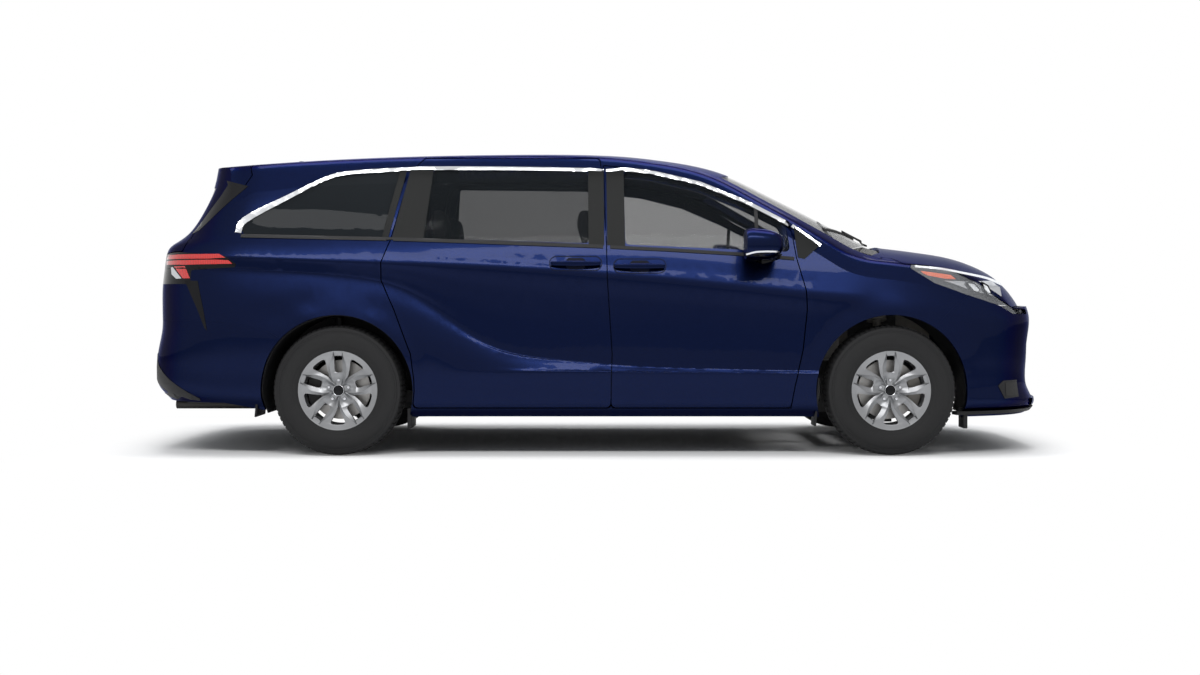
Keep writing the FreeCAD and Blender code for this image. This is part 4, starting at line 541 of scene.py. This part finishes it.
SPOKE_ROWS = (
    # Radius and half slot in millimetres, then the ridge's and the outer edge's angles from a pair's centre
    # line, then the reach of the centre, slot edge, ridge, outer edge and middle between two pairs.
    (33, 13, 34.0, 35.0, 58, 58, 66, 66, 66),
    (40, 14, 33.5, 35.0, 56, 56, 67, 66, 66),
    (50, 15, 32.0, 34.5, 55, 56, 68, 66, 65),
    (62, 15, 30.0, 34.0, 55, 56, 70, 66, 64),
    (74, 15, 28.0, 34.0, 55, 57, 72, 66, 62),
    (86, 14, 26.5, 35.0, 56, 59, 74, 65, 61),
    (94, 11, 25.4, 33.4, 60, 62, 75, 66, 60),
    (99, 6, 24.8, 32.6, 62, 62, 76, 67, 60),
    (102, 15, 24.4, 32.1, 62, 63, 77, 67, 60),
    (108, 20, 23.6, 31.2, 62, 64, 78, 68, 60),
    (118, 22, 22.2, 29.8, 62, 66, 80, 70, 60),
    (130, 22.5, 20.6, 28.1, 62, 69, 82, 72, 60),
    (144, 22.5, 18.4, 26.4, 62, 72, 85, 75, 60),
    (158, 22.5, 15.6, 24.8, 62, 75, 87, 79, 60),
    (172, 22.5, 12.6, 23.5, 62, 78, 89, 83, 60),
    (181, 22.5, 10.8, 23.2, 62, 80, 90, 85, 60),
    (187, 22, 9.8, 24.4, 62, 81, 91, 86, 86),
    (190, 20, 9.4, 27.5, 62, 81, 91, 87, 87),
    (193, 15, 9.0, 27.5, 77, 81, 91.5, 88, 88),
    (197, 22, 8.6, 27.5, 79, 80, 92, 89, 89),
    (206, 22, 7.8, 27.5, 81, 82, 93, 91, 91),
    (216, 22, 7.0, 27.5, 84, 85, 94, 93, 93),
    (224, 22, 6.6, 27.5, 87, 88, 95, 95, 95),
    (230, 22, 6.4, 27.5, 92, 92, 96.5, 97, 97),
)


def wheel_face(hub, sign):
    """Five pairs of spokes: a net of radii and angles with the slots and the windows left out, made thick."""
    bm = bmesh.new()
    for turn in range(5):
        for mirrored in (1, -1):
            rows = []
            for radius, slot, ridge, outer, *reach in SPOKE_ROWS:
                slot = math.degrees(math.asin(slot / radius))
                stops = (0, slot, (slot + ridge) / 2, ridge, (ridge + outer) / 2, outer, 36)
                centre, inner, crest, edge, middle = reach
                high = (centre, inner, (inner + crest) / 2, crest, (crest + edge) / 2 - 0.6, edge, middle)
                row = []
                for angle, out in zip(stops, high):
                    a = math.radians(90 + 72 * turn + mirrored * angle)
                    row.append(bm.verts.new(hub + Vector((
                        radius * math.cos(a), sign * out, radius * math.sin(a))) / 1000))
                rows.append(row)
            for i, (low, high) in enumerate(zip(rows, rows[1:])):
                start, end = SPOKE_ROWS[i][0], SPOKE_ROWS[i + 1][0]
                for j in range(6):
                    in_slot = j == 0 and start >= 99 and end <= 193
                    in_window = j == 5 and start >= 86 and end <= 190
                    if not in_slot and not in_window:
                        bm.faces.new((low[j], low[j + 1], high[j + 1], high[j]))
    bmesh.ops.remove_doubles(bm, verts=bm.verts, dist=0.00002)
    grown = bmesh.ops.extrude_face_region(bm, geom=bm.faces[:])
    moved = [item for item in grown["geom"] if isinstance(item, bmesh.types.BMVert)]
    bmesh.ops.translate(bm, vec=(0, -sign * 0.024, 0), verts=moved)
    return bm


def wheels():
    """Open double-spoke wheels with bare caps, lug nuts and the brake disc behind the spokes."""
    barrel = (
        (97, 228), (98, 235), (91, 235), (90, 220), (49, 220), (20, 196), (-39, 196), (-59, 220),
        (-90, 220), (-91, 235), (-98, 235), (-96, 212), (-64, 211), (-41, 188), (22, 188), (54, 212),
        (92, 213), (97, 228),
    )
    disc = (
        (44, 30), (45, 78), (40, 80), (-8, 80), (-8, 100), (-8, 165), (-14, 165), (-14, 120), (-24, 120),
        (-24, 165), (-30, 165), (-30, 100), (-30, 68), (35, 68), (35, 30), (44, 30),
    )
    cap = ((64, 0), (68.5, 0), (69, 24), (68, 27.5), (60, 28))
    ring = ((60, 28), (69, 28.5), (69.6, 29.5), (69, 30.5), (60, 31))
    nut = ((50, 9.5), (66, 9.5), (69, 7.5), (69.5, 0))
    for end, axle in AXLES:
        for side, sign in SIDES:
            hub = Vector((axle, sign * HALF_TRACK, WHEEL_HEIGHT))
            body = "wheel_%s_%s" % (end, side)

            def spun(profile, steps, centre=hub):
                return turned([(a / 1000, r / 1000) for a, r in profile], centre, (0, sign, 0), steps)

            name = "_%s_%s" % (end, side)
            piece = make("wheel" + name, joined(wheel_face(hub, sign), spun(barrel, 96)), alloy, body)
            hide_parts("rim" + name)
            make("brake_disc" + name, spun(disc, 64), steel, body)
            make("centre_cap" + name, spun(cap, 48), gloss, body)
            nuts = []
            for i in range(5):
                a = math.radians(90 + 72 * i)
                nuts.append(spun(nut, 6, hub + Vector((0.057 * math.cos(a), 0, 0.057 * math.sin(a)))))
            make("lug_nuts" + name, joined(spun(ring, 48), *nuts), chrome, body)


TREAD_BLOCKS = 72
TREAD_DEPTH = 0.0045
# Reach from the tyre's middle and radius.
TREAD = (
    (0.0, 0.362), (0.008, 0.362), (0.0085, 0.355), (0.0145, 0.355), (0.015, 0.3615), (0.042, 0.3608),
    (0.0425, 0.354), (0.0495, 0.354), (0.050, 0.3602), (0.078, 0.3578), (0.092, 0.3535),
)
SIDEWALL = (
    (0.1010, 0.3465), (0.1040, 0.3380), (0.1052, 0.3300), (0.1085, 0.3285), (0.1092, 0.3210),
    (0.1120, 0.3180), (0.1155, 0.3020), (0.1168, 0.2880), (0.1160, 0.2760), (0.1140, 0.2640),
    (0.1100, 0.2480), (0.1085, 0.2465), (0.1078, 0.2440), (0.1050, 0.2350), (0.0985, 0.2250),
    (0.0935, 0.2185), (0.0925, 0.2165),
)


def tyres():
    """Tyres with four grooves, straight cuts across the tread and ribbed shoulders."""
    half = list(TREAD + SIDEWALL)
    profile = [(-y, r) for y, r in half[::-1]] + half[1:]
    for end, axle in AXLES:
        for side, sign in SIDES:
            hub = Vector((axle, sign * HALF_TRACK, WHEEL_HEIGHT))
            pitch = math.tau / TREAD_BLOCKS
            bm = bmesh.new()
            verts = [bm.verts.new(hub + Vector((0, -sign * y, r))) for y, r in profile]
            edges = [bm.edges.new(two) for two in zip(verts, verts[1:])]
            bmesh.ops.spin(bm, geom=verts + edges, cent=hub, axis=(0, 1, 0), angle=pitch, steps=4)
            bm.faces.ensure_lookup_table()
            cuts = []
            for face in bm.faces:
                middle = face.calc_center_median() - hub
                turn = math.atan2(middle.x, middle.z) / pitch % 1.0
                across = abs(middle.y)
                radius = math.hypot(middle.x, middle.z)
                lane = 0.5 if across < 0.012 else 0.0
                if radius > 0.345 and across > 0.016 and 0.0 <= (turn + lane) % 1.0 < 0.25:
                    cuts.append(face)
            low = bmesh.ops.extrude_face_region(bm, geom=cuts)
            moved = [v for v in low["geom"] if isinstance(v, bmesh.types.BMVert)]
            bmesh.ops.delete(bm, geom=cuts, context="FACES")
            for vert in moved:
                out = Vector((vert.co.x - hub.x, 0, vert.co.z - hub.z)).normalized()
                vert.co -= out * TREAD_DEPTH
            pattern = bpy.data.meshes.new("pattern")
            bm.to_mesh(pattern)
            bm.free()
            whole = bmesh.new()
            for i in range(TREAD_BLOCKS):
                turned_pitch = pattern.copy()
                turn = Matrix.Translation(hub) @ Matrix.Rotation(pitch * i, 4, "Y") @ Matrix.Translation(-hub)
                turned_pitch.transform(turn)
                whole.from_mesh(turned_pitch)
                bpy.data.meshes.remove(turned_pitch)
            bpy.data.meshes.remove(pattern)
            bmesh.ops.remove_doubles(whole, verts=whole.verts, dist=0.0001)
            piece = make("tread_%s_%s" % (end, side), whole, rubber, "wheel_%s_%s" % (end, side))
            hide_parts("tyre_%s_%s" % (end, side))


def lamp_shell(name, toward, depth, thick):
    """The outward faces of a right-hand lamp, moved inwards and given a thickness."""
    bm = bmesh.new()
    bm.from_mesh(nodes[name].data)
    bm.normal_update()
    toward = Vector(toward).normalized()
    spare = [f for f in bm.faces if f.calc_center_median().y > 0 or f.normal.dot(toward) < 0.25]
    bmesh.ops.delete(bm, geom=spare, context="FACES")
    bmesh.ops.remove_doubles(bm, verts=bm.verts, dist=0.00002)
    bm.normal_update()
    inward = {vert: vert.normal.copy() for vert in bm.verts}
    for vert, normal in inward.items():
        vert.co -= normal * depth
    grown = bmesh.ops.extrude_face_region(bm, geom=bm.faces[:])
    for vert in [item for item in grown["geom"] if isinstance(item, bmesh.types.BMVert)]:
        vert.co -= vert.normal * thick
    return bm


def head_lamps():
    """Clear lenses over dark bowls, with a light strip along the top, two lamps and an amber marker."""
    shell = Skin("headlamps")
    toward = (0.55, -0.75, 0.35)
    lens = lamp_shell("headlamps", toward, 0.0, 0.003)
    for piece in pair("lamp_lens", lens, clear_lens):
        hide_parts("headlamps")
    pair("lamp_bowl", lamp_shell("headlamps", toward, 0.034, 0.002), bowl)
    line = [(1.775, 1.052), (1.93, 1.038), (2.07, 1.012), (2.19, 0.985), (2.27, 0.950)]
    strip = draped(ribbon(curve_points(line, 4), 0.012), "side", shell, -0.006, 0.012)
    pair("lamp_strip", strip, glow_white)
    marker = [(1.802, 1.026), (1.978, 1.004), (2.006, 0.980), (1.940, 0.982), (1.838, 1.000), (1.812, 1.014)]
    pair("lamp_marker", draped(marker, "side", shell, -0.008, 0.010), amber)
    inner = [(1.93, 0.972), (2.06, 0.968), (2.22, 0.972), (2.27, 0.935), (2.28, 0.885), (2.25, 0.885),
             (2.10, 0.915), (1.99, 0.955)]
    pair("lamp_bright_bowl", draped(inner, "side", shell, -0.020, 0.004), lamp_silver)
    lamps = (((2.070, 0.962), (2.118, 0.957), (2.150, 0.922), (2.136, 0.906), (2.106, 0.914)),
             ((2.166, 0.962), (2.198, 0.944), (2.216, 0.906), (2.198, 0.899), (2.180, 0.922)))
    projectors = [draped(spot, "side", shell, -0.009, 0.010) for spot in lamps]
    pair("lamp_projectors", joined(*projectors), glow_white)
    frames = [draped(ribbon(spot + spot[:1], 0.007), "side", shell, -0.007, 0.012) for spot in lamps]
    pair("lamp_rims", joined(*frames), gloss)


def tail_lights():
    """Red light bands, a clear reverse lamp and the dark blades under the tail lamps."""
    shell = Skin("tail_lamps", "tailgate_lamps", "rear_bumper", "side_frame_right", "tailgate")
    high = [(-2.466, 1.117), (-2.36, 1.119), (-2.10, 1.119), (-2.062, 1.098), (-2.16, 1.093), (-2.466, 1.094)]
    low = [(-2.466, 1.086), (-2.12, 1.087), (-2.045, 1.083), (-2.024, 1.064), (-2.30, 1.060), (-2.466, 1.064)]
    lobe = [(-2.39, 1.052), (-2.31, 1.053), (-2.272, 0.984), (-2.318, 0.984)]
    clear = [(-2.415, 1.046), (-2.400, 1.050), (-2.328, 0.984), (-2.365, 0.982), (-2.405, 1.008)]
    bands = [draped(shape, "side", shell, 0.0012, 0.003) for shape in (high, low, lobe)]
    pair("tail_bands", joined(*bands), glow_red)
    pair("reverse_lamp", draped(clear, "side", shell, 0.0012, 0.003), lamp_silver)
    for name, low_z, high_z in (("high", 1.094, 1.116), ("low", 1.062, 1.082)):
        angles = [180 + a for a in range(-24, 25, 2)]
        strip = wrapped(rear_skin, (-1.9, 0), angles, low_z, high_z, 0.0012, 0.003)
        make("gate_band_" + name, strip, glow_red, "gate")
    blade = [(-2.302, 0.972), (-2.222, 0.970), (-2.180, 0.812), (-2.155, 0.694), (-2.170, 0.708),
             (-2.216, 0.812)]
    pair("tail_blade", draped(blade, "side", side_skin, 0.002, 0.004), blade_black)


def wrapped(skin, centre, angles, low, high, proud, thick, rows=4):
    """A band laid round the body within its length; each edge's height can be a function of the angle."""
    bm = bmesh.new()
    grid = []
    for angle in angles:
        a = math.radians(angle)
        out = Vector((math.cos(a), math.sin(a), 0))
        bottom, top = [edge(angle) if callable(edge) else edge for edge in (low, high)]
        column = []
        for i in range(rows + 1):
            spot = Vector((centre[0], centre[1], bottom + (top - bottom) * i / rows))
            depth = skin.depth(spot + out * 4.0, -out)
            reach = 4.0 - depth if depth is not None else 0.0
            column.append([spot, out, reach if 0.35 < reach < 1.6 else None])
        grid.append(column)
    flat = [cell for column in grid for cell in column]
    known = [cell[2] for cell in flat if cell[2] is not None]
    for i, cell in enumerate(flat):
        if cell[2] is None:
            near = [flat[j][2] for j in range(max(i - 6, 0), min(i + 7, len(flat))) if flat[j][2] is not None]
            cell[2] = min(near) if near else min(known)
    net = [[bm.verts.new(spot + out * (reach + proud)) for spot, out, reach in column] for column in grid]
    for left, right in zip(net, net[1:]):
        for i in range(rows):
            bm.faces.new((left[i], right[i], right[i + 1], left[i + 1]))
    ways = {vert: cell[1] for vert, cell in zip([v for column in net for v in column], flat)}
    back = {vert: bm.verts.new(vert.co - ways[vert] * thick) for vert in list(ways)}
    for face in bm.faces[:]:
        bm.faces.new([back[vert] for vert in reversed(face.verts)])
    for edge in [e for e in bm.edges if len(e.link_faces) == 1 and all(v in back for v in e.verts)]:
        a, b = edge.verts
        bm.faces.new((a, b, back[b], back[a]))
    for vert in bm.verts:
        vert.co.x = min(max(vert.co.x, cad_box[0][0]), cad_box[1][0])
    return bm


def bumper_trims():
    """Black valance at the tail; splitter, side pockets and deflectors at the nose."""
    rear = Skin("rear_bumper", "side_frame_right", "side_frame_left")
    nose = Skin("front_bumper", "wing_right", "wing_left", "front_grille")
    reach = [180 + a for a in range(-80, 81, 4)]

    def sunk(angle):
        side = abs(angle - 180)
        return 0.500 + 0.070 * min(side / 50, 1.0) ** 2 - 0.255 * max(side - 50, 0) / 30

    make("rear_valance", wrapped(rear, (-2.05, 0), reach, 0.262, sunk, 0.004, 0.010), black_trim, "root")
    ahead = list(range(-76, 77, 4))
    splitter = wrapped(nose, (1.75, 0), ahead, 0.226, 0.246, 0.020, 0.060, 2)
    make("splitter", splitter, black_trim, "root")
    lip = wrapped(nose, (1.75, 0), list(range(-40, 41, 4)), 0.262, 0.300, 0.014, 0.022, 3)
    make("front_lip", lip, paint, "root")
    pocket = [(2.235, 0.385), (2.270, 0.412), (2.375, 0.412), (2.380, 0.318), (2.275, 0.312)]
    pair("side_pocket_frame", draped(pocket, "side", side_skin, 0.003, 0.006), black_trim)
    net = [(2.285, 0.400), (2.372, 0.400), (2.372, 0.330), (2.285, 0.326)]
    pair("side_pocket_net", draped(net, "side", side_skin, 0.005, 0.003), mesh_black)
    flaps = []
    for x, inner, low, high, lean in (
        (-1.872, -0.745, 0.215, 0.458, 0.022), (1.222, -0.830, 0.165, 0.430, 0.020),
    ):
        flap = rounded_box((x - 0.006, -0.955, low), (x + 0.006, inner, high), 0.004, 2)
        for vert in flap.verts:
            vert.co.x -= lean * (high - vert.co.z) / (high - low)
        flaps.append(flap)
    for x, inner in ((-1.045, -0.740), (2.040, -0.820)):
        flaps.append(rounded_box((x - 0.012, -0.930, 0.150), (x + 0.012, inner, 0.262), 0.005, 2))
    pair("mudflaps", joined(*flaps), black_trim)


def mirror_trims():
    """A light strip and a black lower half on each mirror."""
    shell = Skin("mirror_right")
    strip = [(0.800, 1.108), (0.860, 1.122), (0.960, 1.124), (1.000, 1.120)]
    band = draped(ribbon(curve_points(strip, 4), 0.009), "side", shell, 0.003, 0.005)
    pair("mirror_strip", band, lamp_silver, DOORS)
    low = [(0.812, 1.086), (0.800, 1.102), (0.860, 1.114), (0.960, 1.117), (1.000, 1.112), (0.985, 1.082),
           (0.90, 1.060)]
    pair("mirror_foot_cover", draped(low, "side", shell, 0.0015, 0.004), gloss, DOORS)


def roof_spoiler():
    """Black fins beside the rear glass under the tip of the tailgate."""
    fin = [(-2.125, 1.546), (-1.985, 1.510), (-2.262, 1.258), (-2.312, 1.240), (-2.150, 1.455),
           (-2.112, 1.520)]
    pair("rear_fin", draped(fin, "side", side_skin, 0.002, 0.004), gloss, ("gate", "gate"))


def painted_handle_shade():
    """Painted shade round the door handles: a dark ring where each handle bowl's rim is shaded and a dark
    patch where the finger recess behind the bar is shaded.
    """
    for name, middle, height, bodies in (
        ("slider_handle_shade", -0.123, 1.065, ROOT), ("door_handle_shade", 0.232, 1.051, DOORS),
    ):
        ring = []
        for i in range(32):
            a = math.tau * i / 32
            reach = 0.105 if math.cos(a) > 0 else -0.105
            ring.append((middle + reach + 0.040 * math.cos(a), height + 0.040 * math.sin(a)))
        # The ring and the patch are painted shade: thin dark sheets standing in for the shadow in the bowl's
        # rim and in the finger recess.
        rim_shade = draped(ribbon(ring + ring[:1], 0.0045), "side", side_skin, 0.0010, 0.002)
        recess_shade = [(middle + dx, height + dz) for dx, dz in (
            (-0.058, -0.006), (-0.052, 0.020), (-0.040, 0.031), (0.040, 0.031), (0.052, 0.020),
            (0.058, -0.006), (0.050, -0.026), (0.038, -0.033), (-0.038, -0.033), (-0.050, -0.026))]
        pair(name, joined(rim_shade, draped(recess_shade, "side", side_skin, 0.0010, 0.002)), painted_shade_blue, bodies)


def plates():
    """Blank number plates on their holders."""
    for name, x_way, angle, centre, z, skin, body in (
        ("front", 1, 0, 1.9, 0.560, front_skin, "root"), ("rear", -1, 180, -1.9, 0.860, rear_skin, "gate"),
    ):
        spot = Vector((centre + x_way * 3.0, 0, z))
        x = spot.x - x_way * skin.depth(spot, Vector((-x_way, 0, 0))) + x_way * 0.012
        holder = rounded_box((x - 0.010, -0.160, z - 0.082), (x + 0.004, 0.160, z + 0.082), 0.003, 2)
        sheet = rounded_box((x - 0.003, -0.152, z - 0.076), (x + 0.0015, 0.152, z + 0.076), 0.001, 2)
        bmesh.ops.translate(sheet, vec=(x_way * 0.005, 0, 0), verts=sheet.verts)
        make("plate_holder_" + name, holder, black_trim, body)
        make("plate_" + name, sheet, plate_white, body)


PAD_VOXEL = 0.012
PAD_FRAMES = 12
PAD_REACH = 0.024


def swell(piece):
    """A cloth pass with air pressure, its movement kept under a limit."""
    soft = piece.modifiers.new("cloth", "CLOTH")
    soft.settings.use_pressure = True
    soft.settings.uniform_pressure_force = 4.0
    soft.settings.effector_weights.gravity = 0.0
    soft.settings.quality = 4
    soft.point_cache.frame_start = 1
    soft.point_cache.frame_end = PAD_FRAMES
    before = [v.co.copy() for v in piece.data.vertices]
    for step in range(1, PAD_FRAMES + 1):
        bpy.context.scene.frame_set(step)
        bpy.context.view_layer.update()
    bake(piece)
    for vert, start in zip(piece.data.vertices, before):
        move = vert.co - start
        if move.length > PAD_REACH:
            vert.co = start + move.normalized() * PAD_REACH
    bpy.context.scene.frame_set(1)


def soft_seats():
    """Cushions and backs in one padded piece for each row of seats."""
    for node in ("seats", "rear_bench"):
        piece = bpy.data.objects.new("soft_" + node, nodes[node].data.copy())
        piece.data.materials.clear()
        piece.data.materials.append(cloth)
        collection.objects.link(piece)
        remesh = piece.modifiers.new("even", "REMESH")
        remesh.mode = "VOXEL"
        remesh.voxel_size = PAD_VOXEL
        bake(piece)
        swell(piece)
        piece.data.shade_smooth()
        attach(piece, "root")
        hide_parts(node)


def bake(piece):
    """Turns a piece's live modifiers into its mesh."""
    bpy.context.view_layer.update()
    shaped = piece.evaluated_get(bpy.context.evaluated_depsgraph_get())
    mesh = bpy.data.meshes.new_from_object(shaped)
    piece.modifiers.clear()
    piece.data = mesh


# Studio: floor, white surroundings, lights and the camera.
def shown_white(tree, plain, white):
    """Mixes in plain white where the camera, a mirror or a window looks straight at it."""
    path = tree.nodes.new("ShaderNodeLightPath")
    seen = path.outputs["Is Camera Ray"]
    for other in ("Is Glossy Ray", "Is Transmission Ray"):
        either = tree.nodes.new("ShaderNodeMath")
        either.operation = "MAXIMUM"
        tree.links.new(seen, either.inputs[0])
        tree.links.new(path.outputs[other], either.inputs[1])
        seen = either.outputs[0]
    mix = tree.nodes.new("ShaderNodeMixShader")
    tree.links.new(seen, mix.inputs["Fac"])
    tree.links.new(plain, mix.inputs[1])
    tree.links.new(white, mix.inputs[2])
    return mix.outputs[0]


SHADOW_BOX = {"X": 2.25, "Y": 0.62}
SHADOW_FADE = 0.95


def studio_floor():
    """A pale floor that turns to plain white away from the van's shadow."""
    bm = bmesh.new()
    bmesh.ops.create_grid(bm, x_segments=1, y_segments=1, size=40.0)
    mesh = bpy.data.meshes.new("studio floor")
    bm.to_mesh(mesh)
    bm.free()
    floor = bpy.data.objects.new("studio_floor", mesh)
    collection.objects.link(floor)
    finish = Finish("studio floor", (0.90, 0.90, 0.90), 0.9)
    finish.shader.inputs["Specular IOR Level"].default_value = 0.0
    tree = finish.tree
    glow = tree.nodes.new("ShaderNodeEmission")
    glow.inputs["Color"].default_value = (1.0, 1.0, 1.0, 1.0)
    path = tree.nodes.new("ShaderNodeLightPath")
    parts = finish.node("ShaderNodeSeparateXYZ", {"Vector": finish.place})
    out_x, out_y = [
        Field(finish, parts.outputs[way]).maths("ABSOLUTE") - half for way, half in SHADOW_BOX.items()
    ]
    values = {"Value": out_x.maths("MAXIMUM", out_y), 1: 0.0, 2: SHADOW_FADE, 3: 0.0, 4: 1.0}
    far = finish.field("ShaderNodeMapRange", values, output="Result", interpolation_type="SMOOTHERSTEP")
    share = Field(finish, path.outputs["Is Camera Ray"]) * far
    mix = tree.nodes.new("ShaderNodeMixShader")
    finish.feed(mix.inputs["Fac"], share)
    tree.links.new(finish.shader.outputs[0], mix.inputs[1])
    tree.links.new(glow.outputs[0], mix.inputs[2])
    tree.links.new(mix.outputs[0], tree.nodes["Material Output"].inputs["Surface"])
    mesh.materials.append(finish.material)


def surroundings():
    world = bpy.data.worlds.new("studio")
    bpy.context.scene.world = world
    world.use_nodes = True
    tree = world.node_tree
    tree.nodes.clear()
    soft = tree.nodes.new("ShaderNodeBackground")
    soft.inputs["Color"].default_value = (0.93, 0.96, 1.0, 1.0)
    soft.inputs["Strength"].default_value = 0.45
    white = tree.nodes.new("ShaderNodeBackground")
    white.inputs["Color"].default_value = (1.0, 1.0, 1.0, 1.0)
    white.inputs["Strength"].default_value = 1.0
    out = tree.nodes.new("ShaderNodeOutputWorld")
    tree.links.new(shown_white(tree, soft.outputs[0], white.outputs[0]), out.inputs["Surface"])


def soft_box(name, place, look_at, size, power):
    data = bpy.data.lights.new(name, "AREA")
    data.shape = "RECTANGLE"
    data.size, data.size_y = size
    data.energy = power
    lamp = bpy.data.objects.new(name, data)
    lamp.location = place
    lamp.rotation_euler = (Vector(look_at) - Vector(place)).to_track_quat("-Z", "Y").to_euler()
    collection.objects.link(lamp)


CAMERA_PLACE = (0.012, -8.58, 0.852)
CAMERA_LENS = 41.37
CAMERA_SHIFT = -0.0296


def camera():
    data = bpy.data.cameras.new("camera")
    data.sensor_width = 36.0
    data.lens = CAMERA_LENS
    data.shift_y = CAMERA_SHIFT
    data.clip_end = 200.0
    view = bpy.data.objects.new("camera", data)
    view.location = CAMERA_PLACE
    view.rotation_euler = (math.radians(90), 0, 0)
    collection.objects.link(view)
    bpy.context.scene.camera = view


window_trim()
door_handles()
wipers()
roof_fin()
wheels()
tyres()
head_lamps()
tail_lights()
bumper_trims()
mirror_trims()
roof_spoiler()
painted_handle_shade()
plates()
soft_seats()

camera()
studio_floor()
surroundings()
soft_box("overhead", (0.0, 0.0, 5.2), (0, 0, 0), (7.0, 2.4), 380.0)
soft_box("side", (-0.5, -6.0, 5.6), (0, 0, 0.9), (8.0, 1.0), 350.0)
soft_box("far side", (0.0, 6.0, 5.6), (0, 0, 0.9), (8.0, 1.6), 160.0)
